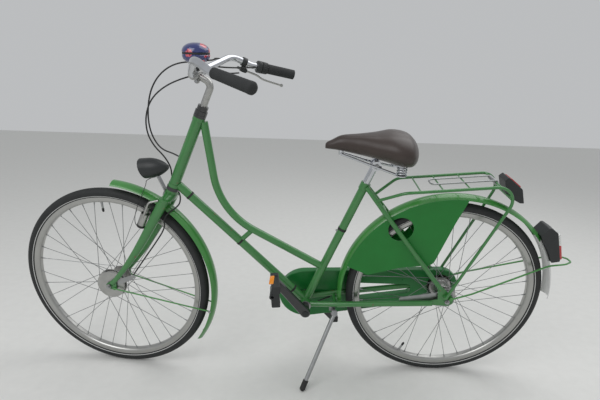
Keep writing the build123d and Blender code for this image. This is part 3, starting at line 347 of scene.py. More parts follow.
def fender_paint(name, tail_from):
    """Enamel in two colours: green, and white behind a line through the axle at an angle."""
    made, tree, shader, dust = sprayed_enamel(name)
    edge = 0.4 * MM
    turn = radians(tail_from)
    middle = ON_FRAME @ REAR_AXLE
    above = (ON_FRAME.to_3x3() @ Vector((-sin(turn), 0, cos(turn)))).normalized()
    split = above.dot(middle)
    place = add_node(tree, "TexCoord").outputs["Object"]
    height = add_node(tree, "VectorMath", {"operation": "DOT_PRODUCT"}, {0: place, 1: above})
    green = step_between(tree, height.outputs["Value"], split - edge, split + edge)
    body = blend_colours(tree, dust, FENDER_DARK, FENDER_LIGHT)
    paint(tree, shader, blend_colours(tree, green, "#D9DAD8", body))
    return made


GREEN_DARK = "#2C6E32"
GREEN_LIGHT = "#3A7F3E"
FENDER_DARK = "#2F7A30"
FENDER_LIGHT = "#418B3C"
GREEN_PAINT = worn_enamel("stoved_green_enamel", GREEN_DARK, GREEN_LIGHT, "#6B4A32")
FENDER_PAINT = enamel("stoved_green_fender_enamel", FENDER_DARK, FENDER_LIGHT)
WHITE_TAIL_FROM = 38.0
TAIL_PAINT = fender_paint("green_and_white_fender_enamel", WHITE_TAIL_FROM)
GUARD_PLASTIC = moulded("moulded_green_polypropylene", "#066C1F", "#0C7829", 0.34, 0.44, 1.6)
CASE_PLASTIC = moulded("moulded_green_chain_case", "#14642A", "#1B7133", 0.24, 0.36, 1.6)
CHROME = plated("polished_chrome_plate", "#B9BBC0", "#D6D8DC", 0.06, 0.16)
ZINC = plated("zinc_plated_steel", "#8E9092", "#B3B4B4", 0.28, 0.45)
ALUMINIUM = plated("satin_cast_aluminium", "#9C9C9A", "#BEBEBB", 0.30, 0.44)
RIM_ALLOY = plated("anodised_rim_aluminium", "#A3A3A1", "#B9B9B6", 0.24, 0.36, 60.0)
SPOKE_STEEL = plated("drawn_stainless_wire", "#77797A", "#949697", 0.26, 0.38)
CHAIN_STEEL = plated("oiled_chain_steel", "#3C3A37", "#5A5650", 0.32, 0.5, 8.0)
BLACK_ABS = moulded("moulded_black_abs", "#1E2122", "#282B2C", 0.38, 0.5)
BLACK_PAINT = enamel("glossy_black_enamel", "#17181A", "#222325")
FOAM_GRIP = moulded("skinned_grip_foam", "#232526", "#2E3031", 0.7, 0.85, 1.4, 0.12)
TYRE_RUBBER = moulded("moulded_tyre_rubber", "#1D1F20", "#292B2B", 0.6, 0.8, 1.1, 0.08)
STRIPE = moulded("reflecting_sidewall_band", "#B9BABA", "#CFCFCD", 0.4, 0.5)
PVC = moulded("extruded_black_pvc", "#151617", "#1D1E1F", 0.3, 0.4)
SOFT_BLACK = moulded("moulded_black_rubber", "#1C1D1D", "#262726", 0.6, 0.75)
RED_LENS = lens("moulded_red_acrylic", "#8C1018", "#C2242A", 3.0)
AMBER_LENS = lens("moulded_amber_acrylic", "#C9640A", "#F2941E", 3.0)
CLEAR_LENS = lens("moulded_clear_acrylic", "#B8BAB8", "#E2E3E0", 3.5)
BROWN_VINYL = stitched_vinyl()
BELL_PRINT = bell_print()
FLOOR_PAINT = moulded("pale_matt_floor", "#DADAD7", "#E3E3E0", 0.8, 0.9, 4.0)


def make_floor():
    """A plain pale floor, wide enough to run out of sight."""
    mesh = bpy.data.meshes.new("floor")
    far = 9.0
    corners = [(-far, -far, 0), (far, -far, 0), (far, far, 0), (-far, far, 0)]
    mesh.from_pydata(corners, [], [(0, 1, 2, 3)])
    floor = bpy.data.objects.new("floor", mesh)
    bpy.context.scene.collection.objects.link(floor)
    mesh.materials.append(FLOOR_PAINT)


def make_light():
    """A bright overcast room: an even world and two large soft panels."""
    world = bpy.data.worlds.new("room")
    bpy.context.scene.world = world
    world.use_nodes = True
    tree = world.node_tree
    ground = tree.nodes["Background"]
    ground.inputs["Color"].default_value = srgb("#E8EAEC")
    ground.inputs["Strength"].default_value = 0.62
    for name, spot, size, power in (
        ("window_panel", (-1.6, -2.4, 2.8), 2.4, 46.0),
        ("ceiling_panel", (1.4, 0.8, 3.2), 2.8, 40.0),
    ):
        data = bpy.data.lights.new(name, "AREA")
        data.size = size
        data.energy = power
        lamp = bpy.data.objects.new(name, data)
        bpy.context.scene.collection.objects.link(lamp)
        lamp.location = spot
        aim = Vector((0, 0, 0.5)) - Vector(spot)
        lamp.rotation_mode = "QUATERNION"
        lamp.rotation_quaternion = aim.to_track_quat("-Z", "Y")


make_floor()
make_light()
bpy.context.scene.view_settings.view_transform = "Standard"

# ---------------------------------------------------------------- how pieces are made


def across_frame(direction):
    """Two directions square to one direction and to each other."""
    away = Vector((0, 0, 1)) if abs(direction.z) < 0.9 else Vector((1, 0, 0))
    first = direction.cross(away).normalized()
    return first, direction.cross(first).normalized()


class Piece:
    """Mesh of one piece, in the bicycle's own millimetres, with a mark for each finish."""

    def __init__(self, place):
        self.place = place
        self.points = []
        self.faces = []
        self.marks = []

    def skin(self, rings, mark=0, caps=True, closed=False):
        """Joins rings of equal length into a surface."""
        start = len(self.points)
        size = len(rings[0])
        for ring in rings:
            self.points.extend(ring)
        pairs = list(zip(range(len(rings)), range(1, len(rings))))
        if closed:
            pairs.append((len(rings) - 1, 0))
        for low, high in pairs:
            for k in range(size):
                after = (k + 1) % size
                self.faces.append(
                    (
                        start + low * size + k,
                        start + low * size + after,
                        start + high * size + after,
                        start + high * size + k,
                    )
                )
                self.marks.append(mark)
        if caps and not closed:
            self.faces.append(tuple(start + k for k in reversed(range(size))))
            self.faces.append(tuple(start + (len(rings) - 1) * size + k for k in range(size)))
            self.marks.extend((mark, mark))
        return self

    def turn(self, centre, direction, profile, mark=0, steps=32, ribs=0, rib_depth=0.0):
        """A turned form: profile gives (distance along, radius); ribs are cut round it."""
        direction = Vector(direction).normalized()
        first, second = across_frame(direction)
        rings = []
        for along, radius in profile:
            ring = []
            for k in range(steps):
                angle = 2 * pi * k / steps
                cut = rib_depth if ribs and (k * ribs * 2 // steps) % 2 else 0.0
                reach = max(radius - cut, 0.05)
                ring.append(
                    Vector(centre)
                    + direction * along
                    + (first * cos(angle) + second * sin(angle)) * reach
                )
            rings.append(ring)
        return self.skin(rings, mark)

    def rod(self, points, radius, mark=0, steps=12, closed=False):
        """A round rod through points, with rings square to its line."""
        points = [Vector(p) for p in points]
        count = len(points)
        rings = []
        first = None
        for k, point in enumerate(points):
            before = points[k - 1] if k or closed else point
            after = points[(k + 1) % count] if k < count - 1 or closed else point
            line = (after - before).normalized()
            if first is None:
                first, _ = across_frame(line)
            first = (first - line * first.dot(line)).normalized()
            second = line.cross(first)
            rings.append(
                [
                    point + (first * cos(a) + second * sin(a)) * radius
                    for a in (2 * pi * s / steps for s in range(steps))
                ]
            )
        return self.skin(rings, mark, closed=closed)

    def slab(self, origin, right, up, outline, thickness, mark=0, ease=0.0):
        """A plate: an outline on a plane, thickened both ways, with eased edges."""
        right, up = Vector(right).normalized(), Vector(up).normalized()
        out = right.cross(up)
        half = thickness / 2
        levels = [(-half, 1)] if not ease else [(-half, 0), (-half + ease, 1)]
        levels += [(half, 1)] if not ease else [(half - ease, 1), (half, 0)]
        middle = (
            sum(p[0] for p in outline) / len(outline),
            sum(p[1] for p in outline) / len(outline),
        )
        rings = []
        for height, full in levels:
            ring = []
            for x, y in outline:
                dx, dy = x - middle[0], y - middle[1]
                reach = hypot(dx, dy)
                shrink = 1.0 if full or reach == 0 else (reach - ease) / reach
                ring.append(
                    Vector(origin)
                    + right * (middle[0] + dx * shrink)
                    + up * (middle[1] + dy * shrink)
                    + out * height
                )
            rings.append(ring)
        return self.skin(rings, mark)

    def hexagon(self, centre, direction, across, height, mark=0):
        """A bolt's or nut's hexagon with chamfered corners."""
        corner = across / sqrt(3)
        profile = [(0, corner * 0.93), (height * 0.12, corner), (height * 0.88, corner)]
        profile += [(height, corner * 0.93)]
        return self.turn(centre, direction, profile, mark, steps=6)

    def make(self, name, body, finishes, replaces=(), smooth=35.0, levels=0):
        """Puts the piece in the scene on its body."""
        mesh = bpy.data.meshes.new(name)
        mesh.from_pydata([self.place @ p for p in self.points], [], self.faces)
        mesh.validate()
        for finish in finishes:
            mesh.materials.append(finish)
        for face, mark in zip(mesh.polygons, self.marks):
            face.material_index = mark
            face.use_smooth = True
        mesh.set_sharp_from_angle(angle=radians(smooth))
        made = bpy.data.objects.new(name, mesh)
        bpy.context.scene.collection.objects.link(made)
        if levels:
            rounder = made.modifiers.new("rounder", "SUBSURF")
            rounder.levels = levels
            rounder.render_levels = levels
        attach(made, body)
        if replaces:
            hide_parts(*replaces)
        return made


def arc_profile(points, steps=6):
    """A profile through points, rounded by a smooth curve between them."""
    smooth = []
    count = len(points)
    for k in range(count - 1):
        p0, p1 = points[max(k - 1, 0)], points[k]
        p2, p3 = points[k + 1], points[min(k + 2, count - 1)]
        for s in range(steps):
            t = s / steps
            smooth.append(
                tuple(
                    0.5
                    * (
                        2 * b
                        + (c - a) * t
                        + (2 * a - 5 * b + 4 * c - d) * t * t
                        + (3 * b - a - 3 * c + d) * t**3
                    )
                    for a, b, c, d in zip(p0, p1, p2, p3)
                )
            )
    smooth.append(tuple(points[-1]))
    return smooth


# ---------------------------------------------------------------- cables


def smooth_line(name, points, radius, keep_curve=True):
    """A cable's curve through its control points, in the row frame."""
    data = bpy.data.curves.new(name, "CURVE")
    data.dimensions = "3D"
    data.bevel_depth = radius * MM
    data.bevel_resolution = 3
    data.resolution_u = 10
    data.use_fill_caps = True
    spline = data.splines.new("NURBS")
    spline.points.add(len(points) - 1)
    for knot, point in zip(spline.points, points):
        knot.co = (*point, 1.0)
    spline.order_u = 3
    spline.use_endpoint_u = True
    data.materials.append(PVC)
    made = bpy.data.objects.new(name, data)
    bpy.context.scene.collection.objects.link(made)
    if keep_curve:
        return made
    bpy.context.view_layer.update()
    mesh = bpy.data.meshes.new_from_object(made)
    bpy.data.objects.remove(made)
    meshed = bpy.data.objects.new(name, mesh)
    bpy.context.scene.collection.objects.link(meshed)
    for face in mesh.polygons:
        face.use_smooth = True
    return meshed


BRAKE_ROUTE = [
    (-278, 190, 1086),
    (-312, 150, 1084),
    (-360, 98, 1088),
    (-418, 48, 1074),
    (-478, 30, 1046),
    (-523, 22, 1004),
    (-542, 16, 950),
    (-538, 10, 896),
    (-520, 18, 852),
    (-492, 26, 820),
    on_fork(486, 38, 27),
    on_fork(452, 26, 32),
    on_fork(424, 9, 38),
    on_fork(406, -20, 37),
    on_fork(390, -37, 13),
    on_fork(380, -38, -12),
    on_fork(356, -22, -30.5),
    on_fork(332, -18, -40),
    (-474, -42, 590),
    (-515, -43, 527),
    (-553, -44, 474),
    (-602, -46.5, 402),
]
CABLE_SPLIT = on_fork(480, -9.2, 25.6)
LOOP_ROUTE = [
    (-218.5, 204.2, 1106),
    (-262, 176, 1103),
    (-342, 122, 1106),
    (-390, 72, 1124),
    (-446, 46, 1116),
    (-494, 40, 1084),
    (-527, 39, 1036),
    (-542, 39, 980),
    (-545, 39, 925),
    (-534, 40, 876),
    (-506, 40, 838),
    on_fork(531, 48, 36),
    on_fork(531, 14, 30),
    CABLE_SPLIT + STEER_UP * 28,
    CABLE_SPLIT,
]
DOWN_TUBE_START = on_fork(457)
TUBE_RUN = (BRACKET - DOWN_TUBE_START).normalized()
TUBE_UNDER = Vector((TUBE_RUN.z, 0, -TUBE_RUN.x))
CABLE_SIDE = 8
UNDER_OFFSET = sqrt((TUBE_RADIUS + CABLE_RADIUS + 0.2) ** 2 - CABLE_SIDE**2)


def under_tube(along):
    """The cable's place under the down tube."""
    return DOWN_TUBE_START + TUBE_RUN * along + TUBE_UNDER * UNDER_OFFSET + ACROSS * CABLE_SIDE


FRAME_ROUTE = [
    on_fork(450, -9.4, 26),
    on_fork(433, -30, 18),
    under_tube(66),
    under_tube(300),
    under_tube(565),
    (-36, 10, 282),
    (-8, 12, 264),
    (28, 16, 266),
    (60, 24, 280),
    (92, 37, 284),
]

brake_line = smooth_line(
    "brake_cable_housing", [ON_STEERING @ Vector(p) for p in BRAKE_ROUTE], CABLE_RADIUS
)
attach(brake_line, "steering")
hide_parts("brake_cable")

gear_points = [ON_STEERING @ Vector(p) for p in LOOP_ROUTE]
gear_points += [ON_FRAME @ Vector(p) for p in FRAME_ROUTE]
gear_line = smooth_line("gear_cable_housing", gear_points, CABLE_RADIUS, keep_curve=False)
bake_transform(gear_line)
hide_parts("gear_cable", "gear_cable_loop")

# ---------------------------------------------------------------- tyres and wheel trim

# the tyre's section is laid out by degrees from the crown of its tread
STRIPE_FROM, STRIPE_TO = 112.0, 119.0
BEAD_ANGLE = 138.0
TREAD_STEPS = 720
GROOVE_DEPTH = 1.3
CUT_DEPTH = 1.1
BEAD_HALF = 10.5
BEAD_LIFT = 1.0


def tyre(name, axle, place, body, node):
    """A tyre with three grooves, slanted shoulder cuts and a pale band on each sidewall."""
    ring = WHEEL_RADIUS - TYRE_WIDTH / 2
    stops = [-BEAD_ANGLE, -130, -STRIPE_TO, -STRIPE_FROM, -98, -84, -72, -62, -52, -42, -34, -27]
    stops += [-24, -21, -14, -6, -3, 3, 6, 14, 21, 24, 27, 34, 42, 52, 62, 72, 84, 98]
    stops += [STRIPE_FROM, STRIPE_TO, 130, BEAD_ANGLE]
    tyre_piece = Piece(place)
    rings = []
    for step in range(TREAD_STEPS):
        turn = 2 * pi * step / TREAD_STEPS
        outward = Vector((cos(turn), 0, sin(turn)))
        line = []
        for stop in stops:
            reach = TYRE_WIDTH / 2
            width = abs(stop)
            if 3 < width < 6 or 22 < width < 26:
                reach -= GROOVE_DEPTH
            if width <= 3 or (28 < width < 62 and (step + int(stop / 7)) % 4 == 0):
                reach -= CUT_DEPTH
            angle = radians(stop)
            radius = ring + reach * cos(angle)
            line.append(axle + outward * radius + ACROSS * reach * sin(angle))
        inner = RIM_OUTER + BEAD_LIFT
        line.append(axle + outward * inner + ACROSS * BEAD_HALF)
        line.append(axle + outward * inner - ACROSS * BEAD_HALF)
        rings.append(line)
    tyre_piece.skin(rings, closed=True)
    size = len(rings[0])
    for number in range(len(tyre_piece.faces)):
        column = number % size
        if column < len(stops) - 1:
            middle = abs(stops[column] + stops[column + 1]) / 2
            if STRIPE_FROM < middle < STRIPE_TO:
                tyre_piece.marks[number] = 1
    tyre_piece.make(name, body, [TYRE_RUBBER, STRIPE], [node])


# each hub's flanges: how far to the right, and the radius of the spoke holes
FRONT_FLANGES = ((-30.0, 50.0), (32.0, 32.0))
REAR_FLANGES = ((-30.0, 36.0), (30.0, 36.0))
SPOKE_CROSSES = 3
HEAD_OUTSIDE, HEAD_INSIDE = 4.0, -2.7
HOLE_STAGGER = 3
NIPPLE_PROFILE = [(-11.5, 1.5), (-11, 1.8), (-5, 1.8), (-4.6, 2.2), (0.4, 2.2)]


def nipples(name, axle, place, body, flanges):
    """Spoke nipples with their collars, one at each spoke's end."""
    trim = Piece(place)
    per_side = SPOKES // 2
    step = 360 / per_side
    for flange, (flange_side, hole) in enumerate(flanges):
        right_or_left = 1 if flange_side > 0 else -1
        for count in range(per_side):
            lead = 1 if count % 2 else -1
            angle = count * step + flange * step / 2
            outward = lead * flange_side > 0
            lift = (HEAD_OUTSIDE if outward else HEAD_INSIDE) * right_or_left
            start = around(axle, hole, angle, flange_side + lift)
            seat_angle = angle + lead * SPOKE_CROSSES * step
            seat = around(axle, RIM_INNER - 0.3, seat_angle, HOLE_STAGGER * right_or_left)
            trim.turn(seat, (seat - start).normalized(), NIPPLE_PROFILE, steps=8)
    trim.make(name, body, [ZINC])


def valve(name, axle, place, body, angle):
    """A valve stem with a nut at its foot and a ribbed rubber dust cap."""
    root = around(axle, RIM_INNER + 0.5, angle)
    inward = (axle - root).normalized()
    stem = Piece(place)
    stem.turn(root, inward, [(0, 6), (2.2, 5.6), (2.6, 4.2), (24, 3.4), (25, 3.0)], 0, 20)
    cap = [(24.5, 4.0), (26, 4.3), (35, 4.0), (38, 2.6), (38.5, 1.2)]
    stem.turn(root, inward, cap, 1, 20, 10, 0.3)
    stem.make(name, body, [ZINC, SOFT_BLACK])


tyre("front_tyre_cover", FRONT_AXLE, ON_STEERING, "front_wheel", "front_tyre")
tyre("rear_tyre_cover", REAR_AXLE, ON_FRAME, "rear_wheel", "rear_tyre")
nipples("front_nipples", FRONT_AXLE, ON_STEERING, "front_wheel", FRONT_FLANGES)
nipples("rear_nipples", REAR_AXLE, ON_FRAME, "rear_wheel", REAR_FLANGES)
FRONT_VALVE_ANGLE, REAR_VALVE_ANGLE = 95, 245
valve("front_valve", FRONT_AXLE, ON_STEERING, "front_wheel", FRONT_VALVE_ANGLE)
valve("rear_valve", REAR_AXLE, ON_FRAME, "rear_wheel", REAR_VALVE_ANGLE)

# ---------------------------------------------------------------- saddle

POST_TOP = BRACKET + SEAT_UP * 572
SADDLE_SIDES = 48
SEAM = 8
SEAM_PULL = 0.975
# the underside: its height above the post's top at one place, how it falls, and its lowest
UNDERSIDE_BEHIND, UNDERSIDE_HEIGHT, UNDERSIDE_LOWEST = -60.5, 28, 12.0
UNDERSIDE_SLOPE_FRONT, UNDERSIDE_SLOPE_REAR = 16 / 110, 16 / 90
BASE_HEIGHT, BASE_FLATNESS = 30, 0.9


def underside(behind):
    """How high the saddle's base lies above the top of the post."""
    slope = UNDERSIDE_SLOPE_FRONT if behind < UNDERSIDE_BEHIND else UNDERSIDE_SLOPE_REAR
    height = UNDERSIDE_HEIGHT - (behind - UNDERSIDE_BEHIND) * slope
    return max(height, UNDERSIDE_LOWEST)


def saddle_cover():
    """A padded cover: crowned sections from nose to tail, a sewn seam round it, a flat base."""
    # how far behind the post, how high, half the width and half the height
    stations = arc_profile(
        [
            (-166, 56, 7, 7),
            (-160, 59, 11, 11),
            (-146.5, 62, 17, 15),
            (-114.5, 68, 24, 25),
            (-60.5, 66, 38, 33),
            (-5.5, 64, 70, 41),
            (44.5, 62, 98, 51),
            (89.5, 53, 102, 53),
            (112, 47, 78, 42),
            (124, 45, 44, 25),
            (128, 44, 14, 9),
        ]
    )
    cover = Piece(ON_FRAME)
    rings = []
    for behind, above, half_width, half_height in stations:
        base = underside(behind)
        ring = []
        for k in range(SADDLE_SIDES):
            turn = 2 * pi * k / SADDLE_SIDES
            side, height = half_width * cos(turn), above + half_height * sin(turn)
            # the seam is a narrow channel, with the cover full above and below it
            pull = SEAM_PULL if k in (SEAM, SADDLE_SIDES // 2 - SEAM) else 1.0
            point = POST_TOP + Vector((behind, side * pull, above + (height - above) * pull))
            point.z = max(point.z, POST_TOP.z + base)
            ring.append(point)
        rings.append(ring)
    cover.skin(rings)
    for number, face in enumerate(cover.faces):
        heights = [cover.points[k].z - POST_TOP.z for k in face]
        if max(heights) < BASE_HEIGHT and max(heights) - min(heights) < BASE_FLATNESS:
            cover.marks[number] = 1
    made = cover.make(
        "saddle_cover", "frame", [BROWN_VINYL, BLACK_ABS], ["saddle"], 60.0, 1
    )


saddle_cover()

# ---------------------------------------------------------------- bell, grips, shifter, lever

BAR_CLAMP = on_fork(812, 56.8)
BELL_CENTRE = BAR_CLAMP + Vector((8.4, -10, 60))
BELL_RADIUS = 42.0
BELL_HALF_HEIGHT = 31.0
BELL_GAP = 2.6
LEFT_BAR_BEND, LEFT_BAR_END = (BAR_CLAMP + Vector(p) for p in ((120, -210, 22), (252, -285, -8)))
RIGHT_BAR_RISE, RIGHT_BAR_BEND, RIGHT_BAR_END = (
    BAR_CLAMP + Vector(p) for p in ((63, 172, 50), (120, 210, 22), (252, 285, -8))
)


def bell_shells():
    """Two printed half shells with a black band between, a base and a thumb lever."""
    bell = Piece(ON_STEERING)
    dome = []
    for step in range(15):
        turn = radians(4 + 84 * step / 14)
        along = BELL_GAP + (BELL_HALF_HEIGHT - BELL_GAP) * sin(turn) ** 0.92
        dome.append((along, BELL_RADIUS * cos(turn) ** 0.9))
    for sense in (1, -1):
        bell.turn(BELL_CENTRE, (0, 0, sense), [(BELL_GAP, BELL_RADIUS - 2)] + dome, 0, 56)
    band = [(-BELL_GAP - 0.6, BELL_RADIUS - 3), (-BELL_GAP, BELL_RADIUS - 1.2)]
    band += [(-along, radius) for along, radius in reversed(band)]
    bell.turn(BELL_CENTRE, (0, 0, 1), band, 1, 56)
    foot = [(28, 17), (32, 16), (35, 10), (47, 8), (48, 11), (50, 8)]
    bell.turn(BELL_CENTRE, (0, 0, -1), foot, 1, 32)
    thumb = BELL_CENTRE + Vector((68, -10, -12))
    lever = [BELL_CENTRE + Vector((34, -5, -19)), BELL_CENTRE + Vector((52, -8, -17)), thumb]
    bell.rod(lever, 2.2, 1)
    bell.turn(thumb, (0, 0, 1), [(-2, 6), (-1.4, 8.6), (0.6, 9), (1.8, 7.4), (2.2, 4)], 1, 28)
    bell.make("bell_shells", "steering", [BELL_PRINT, BLACK_ABS], ["bell"], 40.0)


def cut_corners(half_width, half_height, across, up):
    """A rectangle's outline with its corners cut off."""
    quarter = [(half_width - across, -half_height), (half_width, up - half_height)]
    half = quarter + [(x, -y) for x, y in reversed(quarter)]
    return half + [(-x, -y) for x, y in half]


def node_span(node, start, run):
    """How far a CAD piece reaches along a line from a point, in mm."""
    back = ON_STEERING.inverted()
    reach = [(back @ v.co - start).dot(run) for v in frame["nodes"][node].data.vertices]
    return min(reach), max(reach)


def left_grip_foam():
    """A foam grip that widens towards a rounded end, with a few turned rings."""
    start = LEFT_BAR_BEND
    run = (LEFT_BAR_END - start).normalized()
    low, high = node_span("left_grip", start, run)
    profile = [(low, 13.4), (low + 1, 14.6), (low + 7, 15.0), (low + 8, 14.2), (low + 10, 14.2)]
    length = high - low
    for step in range(12):
        along = low + 11 + (length - 30) * step / 11
        swell = 14.8 + 1.9 * (along - low) / length
        profile += [(along, swell), (along + 1.2, swell - 0.35)]
    profile += [(high - 14, 17.0), (high - 6, 16.6), (high - 2, 13.6), (high - 0.4, 8), (high, 2)]
    grip = Piece(ON_STEERING)
    grip.turn(start, run, profile, 0, 40)
    grip.make("left_grip_foam", "steering", [FOAM_GRIP], ["left_grip"], 50.0)


def twist_shifter():
    """A twist grip shifter: a ribbed sleeve, a smooth housing and its window."""
    start = RIGHT_BAR_BEND
    run = (RIGHT_BAR_END - start).normalized()
    low, high = node_span("gear_shifter", start, run)
    shifter = Piece(ON_STEERING)
    housing = [(low, 13), (low + 1, 18.6), (low + 3, 20.2), (low + 17, 20.4)]
    housing.append((low + 18, 19))
    shifter.turn(start, run, housing, 0, 48)
    sleeve = [(low + 18.6, 18), (low + 19.2, 20.2), (high - 2, 19.4), (high, 17)]
    shifter.turn(start, run, sleeve, 0, 96, 24, 1.1)
    top = run.cross(Vector((0, 1, 0)).cross(run)).normalized()
    if top.z < 0:
        top = -top
    window = start + run * (low + 9) + top * 19.6
    outline = cut_corners(7.5, 9, 1.5, 2)
    shifter.slab(window, run, top.cross(run), outline, 3.6, 0, 0.8)
    pane = [(x * 0.6, y * 0.62) for x, y in outline]
    shifter.slab(window + top * 1.7, run, top.cross(run), pane, 0.9, 1, 0.3)
    finishes = [BLACK_ABS, CLEAR_LENS]
    shifter.make("twist_shifter", "steering", finishes, ["gear_shifter"], 40.0)


def hand_brake():
    """A black lever body on its band and a silver blade that hooks down at its tip."""
    run = (RIGHT_BAR_BEND - RIGHT_BAR_RISE).normalized()
    clamp = RIGHT_BAR_RISE + run * 47
    pivot = clamp + Vector((-4, 4, -26))
    lever = Piece(ON_STEERING)
    band = [(-8, 11.2), (-8, 14.4), (-7, 15), (7, 15), (8, 14.4), (8, 11.2)]
    lever.turn(clamp, run, band, 0, 36)
    neck = (pivot - clamp).normalized()
    body = [(0, 8), (6, 7.6), (12, 8.6), (18, 9.2), (22, 7), (23, 3)]
    lever.turn(clamp + neck * 11, neck, body, 0, 24)
    barrel = [(0, 4), (1, 7.4), (8, 8.4), (20, 8.2), (25, 6.6), (26, 4)]
    lever.turn(pivot - run * 13, run, barrel, 0, 24)
    lever.turn(pivot - run * 24, run, [(0, 3.6), (0.6, 4.6), (12, 4.8)], 2, 20, 10, 0.5)
    tip = BAR_CLAMP + Vector((215, 272, -46))
    bend = pivot + Vector((40, 26, -18))
    sag = (pivot + tip) / 2 + Vector((4, 2, -7))
    path = arc_profile([tuple(point) for point in (pivot, bend, sag, tip)])
    blade_sides = 20
    blade = []
    for k, point in enumerate(path):
        point = Vector(point)
        after = Vector(path[min(k + 1, len(path) - 1)])
        before = Vector(path[max(k - 1, 0)])
        line = (after - before).normalized()
        flat = line.cross(Vector((0, 0, 1))).normalized()
        thick = flat.cross(line).normalized()
        share = k / (len(path) - 1)
        wide, deep = 5.6 - 1.2 * sin(pi * share), 3.4
        ring = []
        for corner in range(blade_sides):
            turn = 2 * pi * corner / blade_sides
            ring.append(point + flat * wide * cos(turn) + thick * deep * sin(turn))
        blade.append(ring)
    lever.skin(blade, 1)
    ball = [(-6 * cos(pi * k / 12), max(6 * sin(pi * k / 12), 0.1)) for k in range(13)]
    lever.turn(tip, line, ball, 1, 24)
    lever.hexagon(pivot + Vector((0, 0, 7.6)), (0, 0, 1), 8, 3, 2)
    lever.make(
        "hand_brake", "steering", [BLACK_ABS, ALUMINIUM, ZINC], ["brake_lever"], 40.0
    )


bell_shells()
left_grip_foam()
twist_shifter()
hand_brake()

# ---------------------------------------------------------------- lenses and reflectors

LAMP_FRONT = on_fork(453.9, 108.5)
LAMP_BACK = Vector((cos(radians(7)), 0, sin(radians(7))))
LAMP_RECESS = 6.0


def headlamp_lens():
    """A domed clear lens in the lamp's recess, in a thin bright ring."""
    glass = Piece(ON_STEERING)
    seat = LAMP_FRONT + LAMP_BACK * LAMP_RECESS
    dome = [(0, 27.6), (1.4, 27.4), (3.4, 22), (5, 13), (5.6, 4), (5.7, 0.6)]
    glass.turn(seat, -LAMP_BACK, dome, 0, 48)
    glass.turn(seat, -LAMP_BACK, [(0, 28), (2.2, 28.2), (2.6, 27.4), (1.6, 26.6)], 1, 48)
    glass.make("headlamp_lens", "steering", [CLEAR_LENS, CHROME])


def rear_lens(piece, top, foot, start, stop, depth, width, mark):
    """A lens on a slanted rear face, between two shares of the face's height."""
    top, foot = Vector(top), Vector(foot)
    out = Vector((top.y - foot.y, foot.x - top.x)).normalized()
    high, low = top.lerp(foot, start), top.lerp(foot, stop)
    outline = [low - out * 0.4, low + out * depth * 0.8, low + out * depth + (high - low) * 0.04]
    outline += [high + out * depth - (high - low) * 0.04, high + out * depth * 0.8, high - out * 0.4]
    piece.slab(REAR_AXLE, (1, 0, 0), (0, 0, 1), [tuple(p) for p in outline], width, mark, 0.6)


def rear_lenses():
    """Clear and red lenses of the tail lamp and the red one under the rack's end."""
    tail = Piece(ON_FRAME)
    top, foot = (343.5, 262), (372.0, 157)
    rear_lens(tail, top, foot, 0.07, 0.46, 9.0, 56, 0)
    rear_lens(tail, top, foot, 0.47, 0.97, 9.0, 56, 1)
    tail.make("tail_lamp_lenses", "frame", [CLEAR_LENS, RED_LENS])
    rack_glass = Piece(ON_FRAME)
    rear_lens(rack_glass, (141.8, 452), (192.4, 413), 0.14, 0.86, 3.2, 46, 0)
    rack_glass.make("rack_reflector_lens", "frame", [RED_LENS])


PEDAL_TILT = 8.0
PEDAL_MIDDLE = 137.0
PEDAL_RECESS = 38.6


def pedal_reflectors(name, joint, body, side):
    """Two amber plates in the recesses of a pedal's edges."""
    centre = ON_FRAME.inverted() @ joint_line(joint)[0]
    tilt = radians(PEDAL_TILT)
    flat = Vector((cos(tilt), 0, sin(tilt)))
    up = Vector((-sin(tilt), 0, cos(tilt)))
    middle = Vector((centre.x, side * PEDAL_MIDDLE, centre.z))
    outline = cut_corners(7.6, 24.4, 2, 2.4)
    plates = Piece(ON_FRAME)
    for edge in (-1, 1):
        plates.slab(middle + up * edge * PEDAL_RECESS, flat, ACROSS, outline, 2.2, 0, 0.5)
    plates.make(name, body, [AMBER_LENS])


headlamp_lens()
rear_lenses()
pedal_reflectors("left_pedal_reflectors", "left_pedal_spin", "pedal_left", -1)
pedal_reflectors("right_pedal_reflectors", "right_pedal_spin", "pedal_right", 1)

# ---------------------------------------------------------------- bolts, bands and the lamp's wire


SEAT_TUBE_BAND = 318


def tube_band(piece, centre, direction, radius, width, mark=0):
    """A thin band round a tube."""
    half = width / 2
    ring = [(-half, radius - 0.6), (-half, radius + 1.0), (half, radius + 1.0), (half, radius - 0.6)]
    piece.turn(centre, direction, ring, mark, 40)


